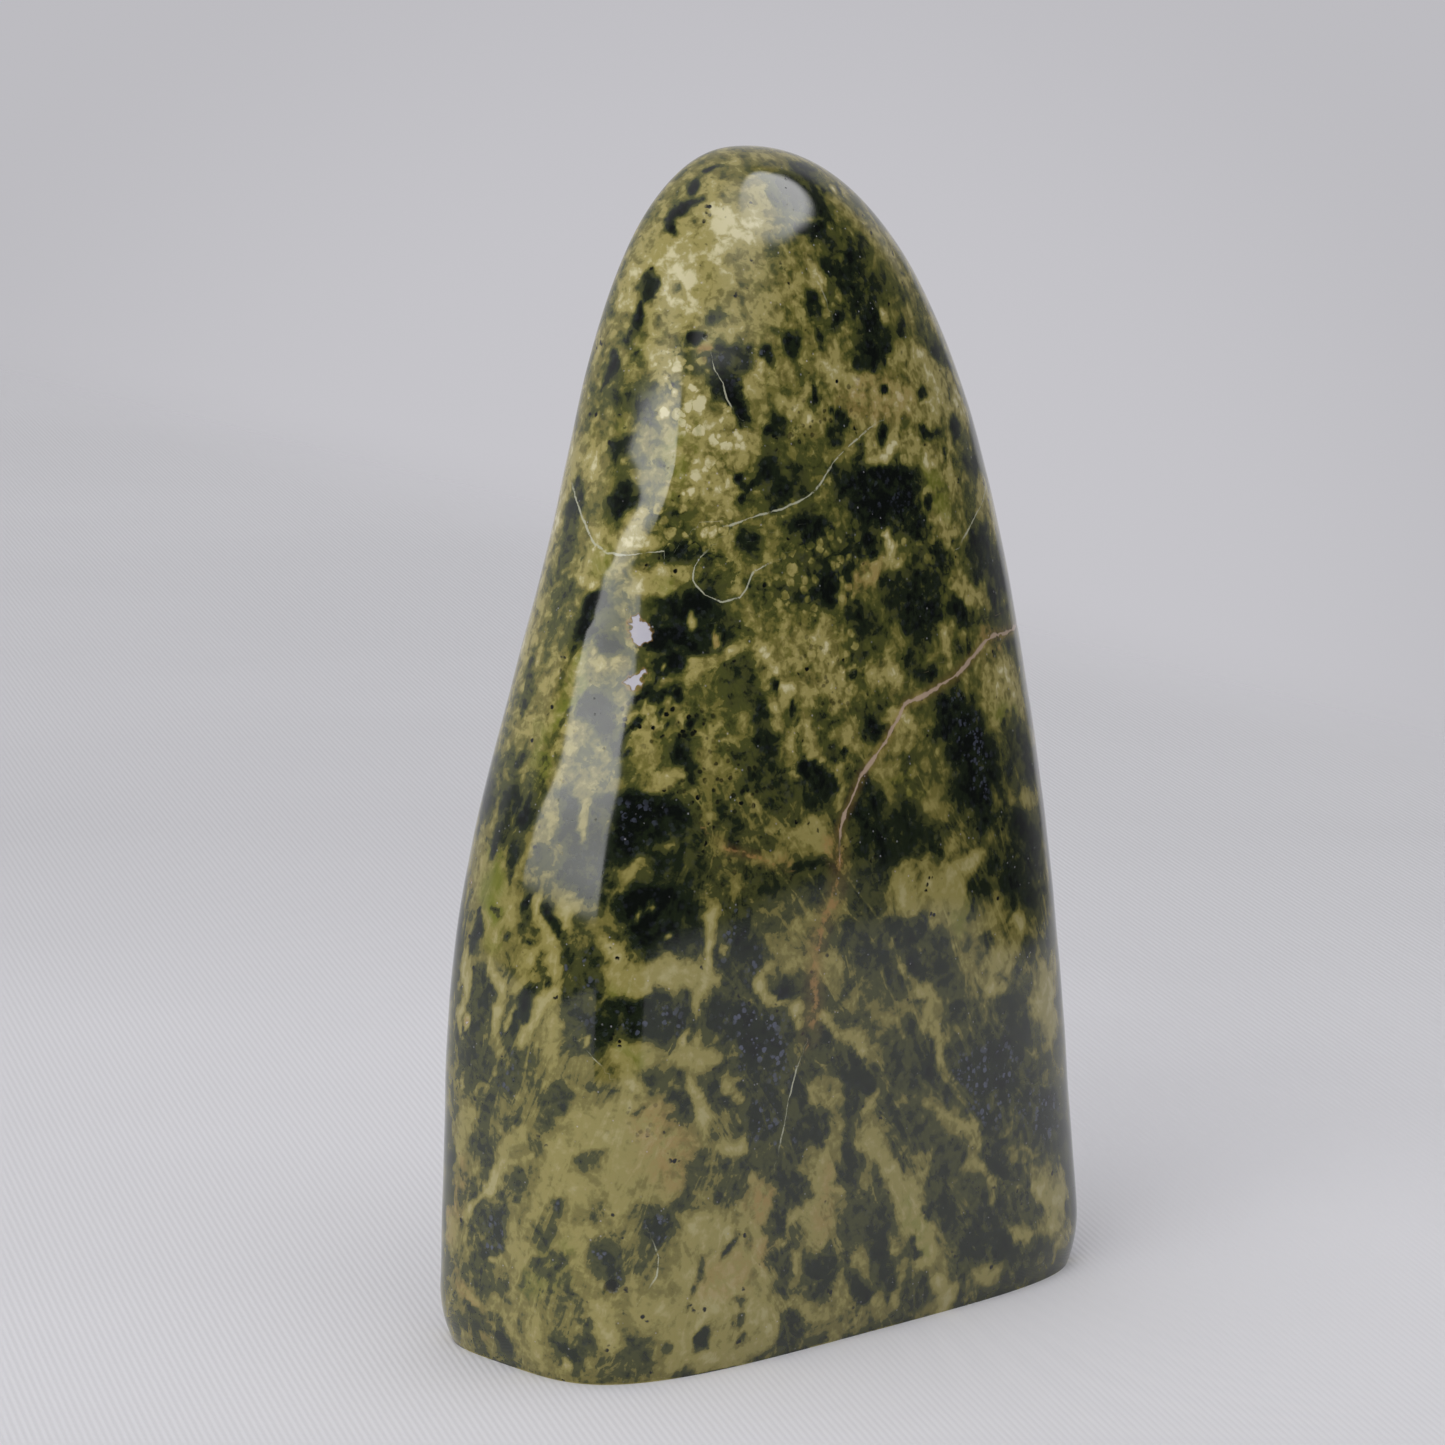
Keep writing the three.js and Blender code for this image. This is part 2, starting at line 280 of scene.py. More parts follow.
DARK_PARTS = (
    # Crown.
    (DARK, 0.6, -15.6, 111, -13.5, 113.4, -11, 114.8, -9, 115.6),
    (DARK, 0.4, -9.5, 116.3, -7.5, 117.8, -5, 118.8), (DARK, 0.9, -17, 108.5, -18.7, 106.5),
    (DARK, 0.7, -20, 105, -20.6, 102.2), (DARK, 0.6, -23.5, 101.5, -24.5, 98), (DARK, 0.5, -20.3, 95.4),
    (DARK, 0.8, -23, 93, -25, 90.5), (DARK, 1.3, -24.2, 88.2, -24.7, 85.3),
    (DARK, 0.9, -13, 104.5, -11, 104.5), (INK, 0.6, -13.5, 102.8, -13.3, 102.2),
    (DARK, 1.3, -12.6, 99.9, -9.5, 101.2), (DARK, 0.9, -12.3, 99, -12, 97.4, -11.3, 95.2),
    (DARK, 0.9, -7.8, 101.2, -6.9, 99.6), (DARK, 0.5, -7.8, 94.5), (DARK, 0.7, -9, 92.7, -6.5, 93.5),
    (DARK, 0.5, -12.8, 89.2), (DARK, 0.5, -11.7, 88.2), (DARK, 0.5, -12.5, 86.7), (MOSS, 0.6, -15, 107),
    (MOSS, 0.6, -11, 108), (MOSS, 0.5, -12.8, 106.9), (DARK, 1.5, 3.5, 117.5, 6.5, 117.3),
    (DARK, 1.5, 4, 116, 4.3, 113.3), (DARK, 0.7, 6.5, 116, 8.8, 115.9), (DUSK, 1.8, -0.5, 117, 0, 114.5),
    (DARK, 1.2, 1.2, 117, 1.8, 114.5), (INK, 0.7, 0.5, 112, 2.7, 111.8), (DARK, 0.8, -1.5, 105.9, 0, 105.2),
    (DARK, 0.9, 3, 106, 5.5, 107.5), (DARK, 0.8, 4, 104.9, 6, 105.5), (DARK, 0.8, 7.5, 109.5, 6.3, 108.5),
    (DARK, 0.9, 8, 106.5, 9.8, 105.8), (DARK, 1.9, 4, 99.5, 8.5, 100.5), (DARK, 1.2, 6, 102.5, 8.5, 103),
    (DARK, 0.7, 2, 102.8, 4.2, 103), (DARK, 0.7, 9.5, 101, 12.3, 102.3),
    (DARK, 0.9, -4.6, 102.8, -3.8, 101), (DUSK, 0.5, -1.5, 102.8, -0.6, 101), (INK, 0.3, -2.9, 97),
    (INK, 0.3, -0.6, 94.6), (INK, 0.35, 7, 96), (DUSK, 1, 12.5, 105, 15, 104.5),
    (DUSK, 1.4, 16, 101, 20, 98.5, 22, 97.5),
    # Shoulder.
    (DARK, 0.7, 0.7, 93.8), (DARK, 0.8, 6, 91.9), (DUSK, 1.2, -0.5, 92.3),
    (DARK, 0.4, 12, 94.3, 14.5, 95.5), (DARK, 0.9, 12.5, 91.5, 14.5, 90.6),
    (DARK, 0.8, 18.5, 90.6, 20.5, 91), (DARK, 0.5, 16, 89), (DARK, 1.3, -9, 90, -8.6, 86.5),
    (DUSK, 1.3, -7, 88.5, -4.5, 87.6), (DARK, 1, -12.2, 83), (DARK, 1.3, -7.5, 83.5, -5, 83),
    (DARK, 0.9, -21.5, 81.5, -18, 82), (DARK, 0.8, -28.5, 76.5, -27, 78), (DUSK, 0.4, -20, 82.8),
    (DUSK, 0.4, -22.6, 80.2), (INK, 1.9, 1.5, 87.5, 7.5, 87), (INK, 1.9, 1, 85.8, 9, 84.5),
    (DARK, 1.3, 9.8, 82.3), (DARK, 1.1, -2, 87, 0, 88.5), (DARK, 0.6, 12.3, 84.6),
    (DUSK, 1.6, 21.5, 87.2, 25, 86.2), (DARK, 0.6, 16.5, 80.5), (DARK, 0.9, 12.5, 79, 13.5, 78),
    (DARK, 1.6, 19, 78.5, 22, 76.5), (DARK, 0.8, -5, 84, -3, 83.2), (DARK, 0.8, 0.3, 79.3),
    (DARK, 0.7, 2.7, 81), (DUSK, 1, -30.5, 88, -32, 82, -33.5, 79), (DUSK, 1, -36, 91, -38, 85, -41, 79),
    # Left side.
    (DARK, 0.6, -28, 78.5, -30, 75, -32, 72), (DARK, 0.4, -32.2, 68, -34.3, 64.3),
    (DUSK, 0.8, -38, 71.5, -38.7, 67, -39.3, 65), (DUSK, 1, -44.5, 70, -48, 62),
    (DARK, 0.9, -40.5, 61, -41.5, 58, -43, 53.5, -44.2, 51.5), (DARK, 0.5, -39.2, 57.5, -40.2, 55.3),
    (DARK, 0.6, -41, 53, -42, 50.5), (DUSK, 1.2, -46, 60, -48, 53), (DARK, 0.9, -35, 58.5, -34, 55.5),
    (DARK, 1.2, -32, 55.5, -31.3, 51), (DARK, 1, -35, 52, -33, 49.5), (DARK, 0.5, -40, 47.5, -39, 46.8),
    (DARK, 0.5, -37, 48, -36.5, 45.5), (DARK, 0.7, -47.5, 45.5, -47.8, 42), (DUSK, 0.5, -44, 46.5),
    (DUSK, 0.5, -43.3, 44.6), (DUSK, 0.9, -47.5, 39.5, -48.5, 36), (DUSK, 1, -52, 46, -54, 36),
    (DARK, 0.7, -40.8, 40, -42.3, 35.5), (DUSK, 1.4, -44, 34, -42.8, 29), (DUSK, 1, -48.5, 31, -49.5, 27),
    (DARK, 0.9, -38.3, 31, -37.6, 28, -39.5, 26.3), (DARK, 1.3, -49, 24, -47, 21),
    (DUSK, 1, -44.6, 27, -46, 25), (DARK, 1.1, -42.6, 22, -42.8, 19), (DARK, 0.6, -43.6, 20, -45.5, 18.4),
    (DARK, 1.5, -45.5, 16.2, -48, 13.5, -49.3, 10.8), (DARK, 1.1, -52, 10, -48.5, 9),
    (DUSK, 1, -53, 6.2, -51, 4), (DUSK, 1.2, -53, 30, -56, 22), (DARK, 1.1, -47.3, 4, -46.2, 2),
    # Middle of the front.
    (INK, 1.4, -21.5, 77, -17, 76.5), (INK, 1.8, -22.5, 74, -17.5, 73.5),
    (INK, 1.2, -23.5, 71.5, -21.5, 70.3), (DARK, 0.7, -24.8, 68.5, -23, 67.8),
    (DARK, 0.9, -28.5, 74, -27.5, 72), (DARK, 1.3, -31, 68, -29, 65), (INK, 0.35, -28.2, 63.3),
    (INK, 0.3, -27.5, 64.6), (INK, 0.3, -26.8, 65), (INK, 0.3, -26.2, 65.8), (INK, 0.35, -24, 66.2),
    (INK, 0.3, -23.6, 65.2), (INK, 0.3, -27.7, 62.3), (INK, 0.3, -26, 67.3), (INK, 0.3, -21.3, 65.3),
    (INK, 0.3, -21.5, 68), (DARK, 1.2, -22, 63, -21.5, 60.5), (INK, 1.7, -29.5, 58, -23.5, 55.5),
    (DARK, 1.6, -29.5, 55, -26, 53), (DARK, 0.9, -18.5, 56, -17.5, 53), (DARK, 1, -13, 66, -12.5, 60),
    (DUSK, 0.8, -15, 68, -13, 66), (DARK, 1.2, -4.5, 79.5, -3.5, 76), (DUSK, 0.8, 0, 79.8),
    (DARK, 1.5, -0.5, 75, 1.5, 73), (DARK, 1, 7.5, 68.3), (DARK, 2, 4.5, 77, 10, 76, 11, 73.4, 7, 73),
    (DARK, 0.8, 9.3, 67.5), (DARK, 1.4, 14.5, 73.5, 16.5, 72), (DARK, 0.6, 16.5, 69.5),
    (DARK, 1.9, 20, 79, 24, 76, 26, 74), (INK, 0.35, -2, 68), (DARK, 0.5, -11.6, 70, -11, 68),
    (DARK, 0.4, -9, 66, -8.7, 64.5), (DARK, 0.9, -13.5, 67, -12, 62), (DARK, 0.9, -8, 58.5, -6, 57),
    (DARK, 0.8, -7, 60.5, -6, 58), (DARK, 0.6, -8.8, 61, -8.6, 59), (INK, 0.3, -3.6, 60.7),
    (DARK, 1.1, 0, 64, 1.5, 62.3), (MOSS, 2.2, 3, 59, 9, 57, 10, 54), (INK, 1.6, 10, 61, 13, 63.5),
    (INK, 2.4, 15, 61, 17, 56, 16, 52), (DARK, 1.3, -9, 58, -7.4, 55.4), (DARK, 1.8, -1.5, 55.5, 0.5, 52),
    (DARK, 1.4, 6, 50.5, 8, 49.5), (DUSK, 1.6, -1, 49, 0, 46), (DARK, 1.2, 27.5, 54),
    (DUSK, 1.4, 21, 58, 26, 57), (DARK, 1.6, 20, 50, 25, 48, 27, 46.5), (DUSK, 0.4, -12, 50.4, -8, 50.6),
    (INK, 2.2, -29.5, 48.6, -27, 48, -26.5, 45.6), (INK, 2, -27.5, 46, -25.2, 44.9),
    (DARK, 1.6, -24.7, 49.4, -23.4, 45),
    # Waist.
    (DARK, 1.2, -24, 46.5, -23, 44), (DARK, 1.6, -31, 37.6, -27, 38), (DARK, 1.5, -28.5, 36.6, -25.4, 36.4),
    (DUSK, 1.4, -35, 43.5, -34.6, 39.5), (DARK, 1.1, -33.6, 37.5, -34, 34), (DARK, 0.6, -27.8, 31),
    (DARK, 0.8, -26.5, 30, -25, 26.6), (DARK, 0.8, -21.3, 29.6, -20.8, 27.2),
    (DARK, 1.3, -20.6, 38.6, -20.2, 35), (DARK, 2, -17.6, 36, -14.8, 33, -15, 30.5),
    (DARK, 1.6, -18, 44, -17.2, 41), (DARK, 0.6, -13.6, 39.8, -12, 37), (DARK, 0.9, -8, 33, -6.6, 31.6),
    (DUSK, 1.4, -2.2, 43, -1, 38.6), (DARK, 1, 3.5, 42, 5.5, 41.5, 7.5, 40), (DARK, 0.8, 4, 38.8, 6, 37.5),
    (DARK, 2.4, 21.5, 46, 25.5, 45), (DARK, 1.4, 22.5, 42.6, 24.4, 41.6), (DUSK, 1.2, 13.5, 45, 16, 44),
    (DARK, 0.8, 16, 47, 18, 46.3), (DUSK, 0.8, 15, 39, 16.4, 38.4), (DUSK, 1, 23, 36.6, 26, 35.6),
    (DARK, 2.4, -17, 26, -13.5, 24.5),
    # Foot.
    (DARK, 1.2, -11.8, 28.5, -10.8, 24.5, -12.2, 20.5), (DARK, 1.1, -9.6, 25, -8.2, 21.6),
    (DARK, 1.5, -3.6, 29, -3.2, 25), (DARK, 1.8, -4.6, 19, -3.8, 16.2), (DARK, 0.8, -13.5, 17.6, -10, 17.2),
    (DARK, 0.9, -15.4, 14.2, -13.2, 13), (DARK, 1.1, -12.9, 12.2, -14.2, 8),
    (DARK, 0.5, -23, 22.5, -22.5, 20.5), (DARK, 0.4, -21.9, 19.2, -21.7, 18.6),
    (DARK, 0.9, -20.2, 20.6, -16.8, 20.9), (DARK, 0.7, -19.7, 19, -18.8, 17.6),
    (DUSK, 0.5, -22.5, 13, -23.5, 10), (DUSK, 0.5, -25.5, 8, -23.5, 11, -21.5, 13.5),
    (DUSK, 0.4, -23, 9.5, -21, 12.5, -19, 15.5), (MOSS, 0.8, -20, 5, -18.5, 7),
    (DUSK, 0.4, -22, 6.6, -19.5, 7, -18, 8), (DARK, 0.6, -24, 4, -23, 3), (DUSK, 0.7, -18.6, 3.4),
    (DARK, 1.1, -13.4, 4.4, -12, 2, -11.5, 0.5), (DARK, 1.3, -8, 9.4, -9.2, 6.4),
    (DARK, 1.7, -2.5, 14, -0.2, 11, 0.6, 7, 1, 5), (DARK, 0.7, -4, 6, -1.2, 4.2),
    (DUSK, 0.9, -35.6, 23.5, -34.5, 22), (DARK, 0.3, -29.6, 27.5), (DARK, 0.3, -29, 27.9),
    (DARK, 1.1, -29, 16.5, -27, 16.2), (DARK, 1.2, -34.2, 14.4, -33, 11.2),
    (DUSK, 1.3, -32, 12.6, -30.2, 11.6), (DARK, 0.7, -38.2, 18.2), (DUSK, 1, -40.2, 16, -39, 12.5),
    (DARK, 0.8, -41.6, 12, -39.6, 11), (DARK, 0.6, -36.6, 9, -36, 6.6), (DARK, 1.3, -39.5, 4.4, -36.6, 2.4),
    (DUSK, 1, -32.6, 2.4, -29.6, 2), (DARK, 0.8, -28.2, 3.3), (DARK, 3, 13, 25, 18, 24.6, 17, 19),
    (DARK, 1.3, 15.4, 17.4, 17.4, 14), (DARK, 2.2, 23, 19.6, 28, 18), (DARK, 1.3, 6.6, 28, 6.8, 25.5),
    (DARK, 1.6, 7.4, 14, 8.4, 10.4), (DARK, 1, 0.4, 10, 0.8, 5), (DARK, 0.7, 4.3, 8.3),
    (DARK, 1.2, 5.5, 4, 5.8, 2), (DARK, 1.7, 12.5, 7, 18, 6.5), (DUSK, 1.2, 18.5, 2.5, 21, 1.5),
    (DUSK, 0.7, 22.5, 9, 25, 7), (DUSK, 1.4, 3, 22.5, 5, 19.5),
)

# Small pale flecks that lie in dark rock; the one at (-28, 47) is a painted glint on the black pool.
FLECKS_AND_GLINTS = (
    (PALE, 0.9, -9.7, 97.8), (PALE, 0.7, -8.4, 98.9), (PALE, 0.5, 7.5, 115.9), (PALE, 0.5, 9, 115),
    (STRAW, 0.5, 4.7, 102.6), (PALE, 0.7, 9.8, 103.6), (PALE, 0.6, 5, 80.8), (PALE, 0.4, -19.5, 75),
    (PALE, 0.5, -17.3, 73.6), (PALE, 0.3, -16.8, 74.8), (PALE, 0.3, -20.7, 72.2), (PALE, 0.3, -23, 70.8),
    (PALE, 0.4, -28, 47), (PALE, 0.35, -26.7, 47.8), (PALE, 0.35, -26, 45.3),
    (STRAW, 0.8, -2.5, 78, -2, 76), (PALE, 0.4, -34.5, 35.3), (CREAM, 0.35, -49.3, 35.3),
    (CREAM, 0.35, -50.7, 28.5), (STRAW, 0.4, 1.2, 9.5, 2.5, 7.5),
    (STRAW, 0.4, -14, 11.5, -12.5, 14, -10, 15.7), (STRAW, 0.4, -54, 6.8, -50, 7),
    (STRAW, 0.5, -15.4, 40.2, -12.2, 40, -11.5, 41), (PALE, 0.5, -46.8, 11.6, -48, 11),
    (PALE, 0.5, -38.6, 2.6, -37.4, 2),
)

# Hairline fractures filled with pale mineral, wide veins and rusty seams:
# (half width, along, height, ...).
HAIRLINES = (
    (0.11, -31.5, 88, -29.3, 84.4, -28.2, 82.5, -26.6, 81.6, -24.5, 81.4, -22.5, 81.8, -20.5, 82, -18.5,
     81.9),
    (0.09, -18.5, 81.9, -17.4, 82.8, -16.2, 84, -14.5, 84.3, -11, 85.2, -8, 85.7, -5, 86.6, -3.5, 87.5,
     -1.5, 89.5, 0, 90.5, 3, 92, 5.5, 93),
    (0.07, -16.5, 82.3, -17.5, 81.5, -18.4, 80.3, -18.6, 79, -17.6, 77.8, -16, 77, -14, 77.3, -13, 78.3,
     -12.3, 79.7, -9.5, 80.8),
    (0.06, -13.2, 101.5, -13.3, 99.5, -12.7, 98, -12.6, 96.4, -11.6, 94.6), (0.07, 0.7, 107.5, 1.2, 105),
    (0.08, -10.8, 31.2, -11.6, 29.5, -12.5, 27, -13.2, 24, -14, 21.5), (0.07, -34.7, 34.2, -33, 32.3),
    (0.1, 27, 84.5, 23.5, 82.7, 21, 81.7, 18, 80, 17, 79.4),
    (0.07, -29, 15, -28.3, 13, -28.6, 11, -29.7, 9.7),
)
TAN_VEINS = (
    (0.22, 34, 69.6, 30, 69, 25, 69, 22, 69.3, 20, 69, 17, 67.8, 14, 66.5, 11, 65.8, 8, 65, 5.5, 64.7, 4,
     63, 2, 61, 0.5, 59.8, -1.5, 58.3, -3, 56, -3.8, 55, -4.7, 53.5, -5, 51.5),
)
RUSTY_SEAMS = (
    (0.2, -20, 54.5, -18.5, 53, -16.5, 52.3, -14.5, 51.5, -12.5, 50.5),
    (0.5, -5, 52, -5.2, 49, -5.8, 46.5, -7, 45, -8, 43.5, -8.8, 41.5, -9, 38.5, -9.2, 35, -9.8, 33),
)

# Minerals that tint the rock: (strength, radius, along, height, ...).
RUST_STAINS = (
    (1, 0.8, -13, 101.3, -12.6, 100.8), (0.4, 2.5, 2, 95.5, 10, 95), (0.5, 1.4, -0.5, 77, 3.5, 79),
    (1, 1.8, 20, 70, 25, 69.8), (0.9, 0.9, -6.3, 53, -5, 51), (0.9, 0.8, -13, 51.3, -11.5, 50),
    (0.8, 0.7, -18.5, 52.8, -15.5, 52.4), (0.8, 0.5, -14.5, 49), (0.7, 0.6, -17.4, 73.6),
    (0.8, 0.5, -33.3, 68.2), (0.5, 3, -28, 27, -26.4, 21), (0.6, 1.6, -16.2, 19, -16.4, 15.6),
    (0.5, 1.4, -16.8, 13, -15.4, 10.4), (0.35, 2.4, -23, 9, -18, 11), (0.35, 1.4, -7, 19, -8, 12),
    (0.5, 1.6, -54, 8, -50, 3), (0.45, 1.5, -52, 20, -55, 12), (0.4, 2, -44, 72, -47, 64),
    (0.6, 1, -8.6, 43, -9, 35), (0.5, 0.8, -11, 30.7),
)
GREEN_GLOW = (
    (1, 1.1, -17.2, 78.8, -15.8, 78.9), (0.7, 1, -21.4, 78.8, -20.4, 78.6), (0.6, 1.6, -22, 99, -20.5, 101),
    (0.6, 2.2, -17, 94, -20, 88), (0.6, 1.6, -23, 95, -26, 90), (0.9, 1.2, -30.5, 72, -32, 69, -34.5, 65),
    (0.7, 1.6, -36.5, 64, -38.5, 58), (0.8, 2, -44, 52, -44.5, 44), (0.7, 1.5, -30.5, 40, -29.5, 39),
    (0.6, 2, 12, 88, 15, 83), (0.5, 2.5, 3, 58, 9, 56), (0.6, 2, 21, 62, 26, 58),
    (0.6, 1.5, -31, 34, -29, 33), (0.5, 2, -38, 14, -42, 9), (0.6, 1.6, -28, 82, -26.5, 80),
    (0.5, 1.6, 4, 13, 6, 8), (0.5, 2, 11, 43, 12, 41),
)
BLUE_SPECKLE = (
    (1, 3, -18, 36, -14, 31), (0.8, 2, -35.5, 43, -34.5, 38), (0.8, 2, -43.5, 34, -42.5, 29),
    (0.9, 2, -18, 26, -13, 23), (1, 1.2, -29.2, 16.4, -27, 16.2), (0.9, 1.4, -34.2, 13.5, -32.6, 11.4),
    (0.9, 0.9, -38.2, 18), (0.9, 0.9, -35.3, 23.7), (0.9, 4, 13, 25, 20, 22), (0.8, 3, 23, 20, 28, 17),
    (0.9, 1.4, -46, 16, -49, 11), (0.4, 1.8, -29, 57, -25, 55), (0.8, 1.8, -12, 100, -8, 100),
    (0.15, 2.5, 3, 86, 8, 84), (0.7, 2, -18.5, 46, -17, 41), (0.7, 0.8, -28.2, 3.3),
    (0.5, 2.2, 14, 64, 17, 54), (0.7, 1.4, -31, 37, -25.6, 36.4), (0.7, 1, -39, 4, -37, 2.6),
)
BLACK_SPECKS = (
    (1, 3, -27, 66, -20, 65), (0.8, 4, -22, 60, -12, 58), (1, 2, -30, 56, -25, 56), (0.7, 3, -6, 92, 2, 96),
    (0.8, 1.6, -14, 50.5, -11, 49.5), (0.5, 2.5, -31, 27, -28, 27.4), (0.6, 2.5, -8, 73, -3, 66),
    (0.5, 2.5, -20, 52, -16, 50),
)
LUMPY_ROCK = (
    (1, 4, -16, 99, -14, 92), (1, 4, -17, 88, -18, 84), (0.6, 5, 0, 80, -8, 78), (0.4, 8, 8, 96, 12, 78),
    (0.5, 4, -8, 72, 0, 68), (0.3, 8, -2, 110, 4, 104),
)

# Broken spots in the polish: (radius, along, height). They are painted pale lilac, partly bruised pale rock
# and partly a painted glint of the softbox; the two at the left edge are painted glints only.
CHIPS_AND_GLINTS = (
    (1.1, -24.4, 74.2), (0.6, -24.7, 75.2), (0.75, -25.8, 69.5), (0.3, -24.8, 70.4), (0.3, -49, 48.5),
    (0.3, -50, 35),
)
# Pits in the polish: (radius, along, height). The material darkens them towards ink as painted shade.
PITS = (
    (0.9, -33.2, 10.3), (0.5, -13.3, 102.6),
)

# Places where the grinding left a blunt edge: (rise, left flank, right flank, along, height, ...).
BLUNT_EDGES = (
    (1.45, 9, 12, -12.4, 107, -15.4, 101, -17, 96, -18.7, 90, -20.1, 87, -22.9, 83, -24.9, 80, -26.9, 75,
     -28.2, 70, -30, 65),
)
EDGE_ROUNDING = 0.9
EDGE_STARTS = (0, 0.25)
EDGE_ENDS = (1, 0.45)

# The faces towards this direction carry the markings above. The others, where a normal turns away
# from it between two shares, get random ones.
MARKED_SIDE = (math.sin(math.radians(-42)), -math.cos(math.radians(-42)), 0.2)
AVERTED = (0.16, -0.06)
RANDOM_PATCHES = 46
RANDOM_STREAKS = 330

# ---------------------------------------------------------------------------------------------
# Stage, in metres. Turns are counted from the camera's azimuth, positive to its right.

STAGE_MIDDLE = Vector((0, 0, 0.06))
PANEL_DISTANCE = 3.0
SOFTBOX_TURN = math.radians(-37)
SOFTBOX_ELEVATION = math.radians(27)
SOFTBOX_SIZE = (5.4, 2.6)
OVERHEAD_TURN = math.radians(76)
OVERHEAD_ELEVATION = math.radians(48)
OVERHEAD_SIZE = (5.2, 4.0)
WALL_TURN = math.radians(-155)
CARD_TURN = math.radians(9)
CARD_DISTANCE = 0.285
CARD_HALF_WIDTH = 0.072
CARD_HALF_HEIGHT = 0.058
CAMERA_TARGET = Vector((0.000321, -0.000026, 0.06))
CAMERA_LEFT = 0.004649
CAMERA_UP = 0.001


# ---------------------------------------------------------------------------------------------
# Numbers and places on the stone.

def linear(red, green, blue):
    """Scene-linear colour of three display values from 0 to 255."""
    shares = [value / 255 for value in (red, green, blue)]
    return tuple(s / 12.92 if s <= 0.04045 else ((s + 0.055) / 1.055) ** 2.4 for s in shares)


def smooth(low, high, value):
    """Goes softly from 0 at low to 1 at high."""
    share = np.clip((value - low) / (high - low), 0, 1)
    return share * share * (3 - 2 * share)


def bump(level, middle, span):
    return np.exp(-(((level - middle) / span) ** 2))


def closing(level, taper):
    return np.maximum(0, 1 - level ** taper) ** CROWN_ROUNDING


def rim_points(level, across, deep):
    """Points on the rim of level sections, before the stone is centred over its foot."""
    belly = bump(level, BELLY_LEVEL, BELLY_SPAN)
    waist = bump(level, WAIST_LEVEL, WAIST_SPAN)
    roll = FOOT_ROLL * np.maximum(0, 1 - level * HEIGHT / FOOT_ROLL_HEIGHT) ** 2
    left_swell = 1 + LEFT_BELLY * belly - LEFT_WAIST * waist
    left = (WIDTH / 2) * closing(level, LEFT_TAPER) * left_swell - roll
    right = (WIDTH / 2) * closing(level, RIGHT_TAPER) - roll
    front = (DEPTH / 2) * closing(level, FRONT_TAPER) * (1 + FRONT_BELLY * belly) - roll
    back = (DEPTH / 2) * closing(level, BACK_TAPER) * (1 + BACK_BELLY * belly) - roll
    power = TOP_SQUARENESS + (FOOT_SQUARENESS - TOP_SQUARENESS) * (1 - level) ** SQUARENESS_FALL
    length = (np.abs(across) ** power + np.abs(deep) ** power) ** (-1 / power)
    x = across * length * np.where(across < 0, left, right) - LEAN_LEFT * level
    y = deep * length * np.where(deep < 0, front, back) + LEAN_BACK * level
    z = level * HEIGHT + 0 * across
    return np.stack([x, y, z], axis=-1)


def crown_level(ring):
    """Level of one ring of the crown, from the tip at 0 to the top of the walls at 1."""
    taper = (LEFT_TAPER + RIGHT_TAPER + FRONT_TAPER + BACK_TAPER) / 4
    share = ring * closing(CROWN_LEVEL, taper)
    return (1 - share ** (1 / CROWN_ROUNDING)) ** (1 / taper)


def box_grid():
    """Corners and four-sided faces of a box from -1 to 1 with one grid on each side."""
    counts = (STEPS_ACROSS, STEPS_DEEP, STEPS_UP)
    index = -np.ones([count + 1 for count in counts], dtype=np.int64)
    steps = np.indices(index.shape)
    outside = np.zeros(index.shape, dtype=bool)
    for axis, count in enumerate(counts):
        outside |= (steps[axis] == 0) | (steps[axis] == count)
    index[outside] = np.arange(outside.sum())
    places = [2 * steps[axis][outside] / count - 1 for axis, count in enumerate(counts)]
    faces = []
    for axis in range(3):
        for side in (0, counts[axis]):
            sheet = np.take(index, side, axis=axis)
            quads = np.stack([sheet[:-1, :-1], sheet[1:, :-1], sheet[1:, 1:], sheet[:-1, 1:]], axis=-1)
            quads = quads.reshape(-1, 4)
            turned_over = (side == 0) != (axis == 1)
            faces.append(quads[:, ::-1] if turned_over else quads)
    return np.stack(places, axis=1), np.concatenate(faces)


def stone_points(corners):
    """Wraps the box on to the stone."""
    ring = np.maximum(np.abs(corners[:, 0]), np.abs(corners[:, 1]))
    safe = np.where(ring > 0, ring, 1)
    across = np.where(ring > 0, corners[:, 0] / safe, 1)
    deep = np.where(ring > 0, corners[:, 1] / safe, 0)
    climb = (corners[:, 2] + 1) / 2
    foot = corners[:, 2] <= -1
    level = np.where(corners[:, 2] >= 1, crown_level(ring), CROWN_LEVEL * climb ** FOOT_CROWDING)
    points = rim_points(np.where(foot, 0, level), across, deep)
    points[foot] *= ring[foot, None]
    return points


def centring(points):
    """Shift that brings the middle of the stone's box over the origin."""
    middle = (points.min(axis=0) + points.max(axis=0)) / 2
    return np.array([-middle[0], -middle[1], 0])


def ring_directions():
    """Points round the edge of a unit square, from the middle of its front side to the right."""
    turn = np.linspace(0, 8, RING_STEPS, endpoint=False)
    sides = [turn < 1, turn < 3, turn < 5, turn < 7]
    one = 1 + 0 * turn
    across = np.select(sides, [turn, one, 4 - turn, -one], turn - 8)
    deep = np.select(sides, [-one, turn - 2, one, 6 - turn], -one)
    return across, deep


class Chart:
    """Turns (along, height) into places on the stone."""

    def __init__(self, shift):
        self.shift = shift
        self.across, self.deep = ring_directions()

    def place(self, along, height):
        level = min(height / HEIGHT, TOP_LEVEL)
        ring = rim_points(level, self.across, self.deep) + self.shift
        ring = np.vstack([ring, ring[:1]])
        steps = np.linalg.norm(np.diff(ring, axis=0), axis=1)
        arc = np.concatenate([[0], np.cumsum(steps)])
        where = along % arc[-1]
        return np.array([np.interp(where, arc, ring[:, axis]) for axis in range(3)])

    def path(self, numbers):
        return [self.place(along, height) for along, height in zip(numbers[::2], numbers[1::2])]


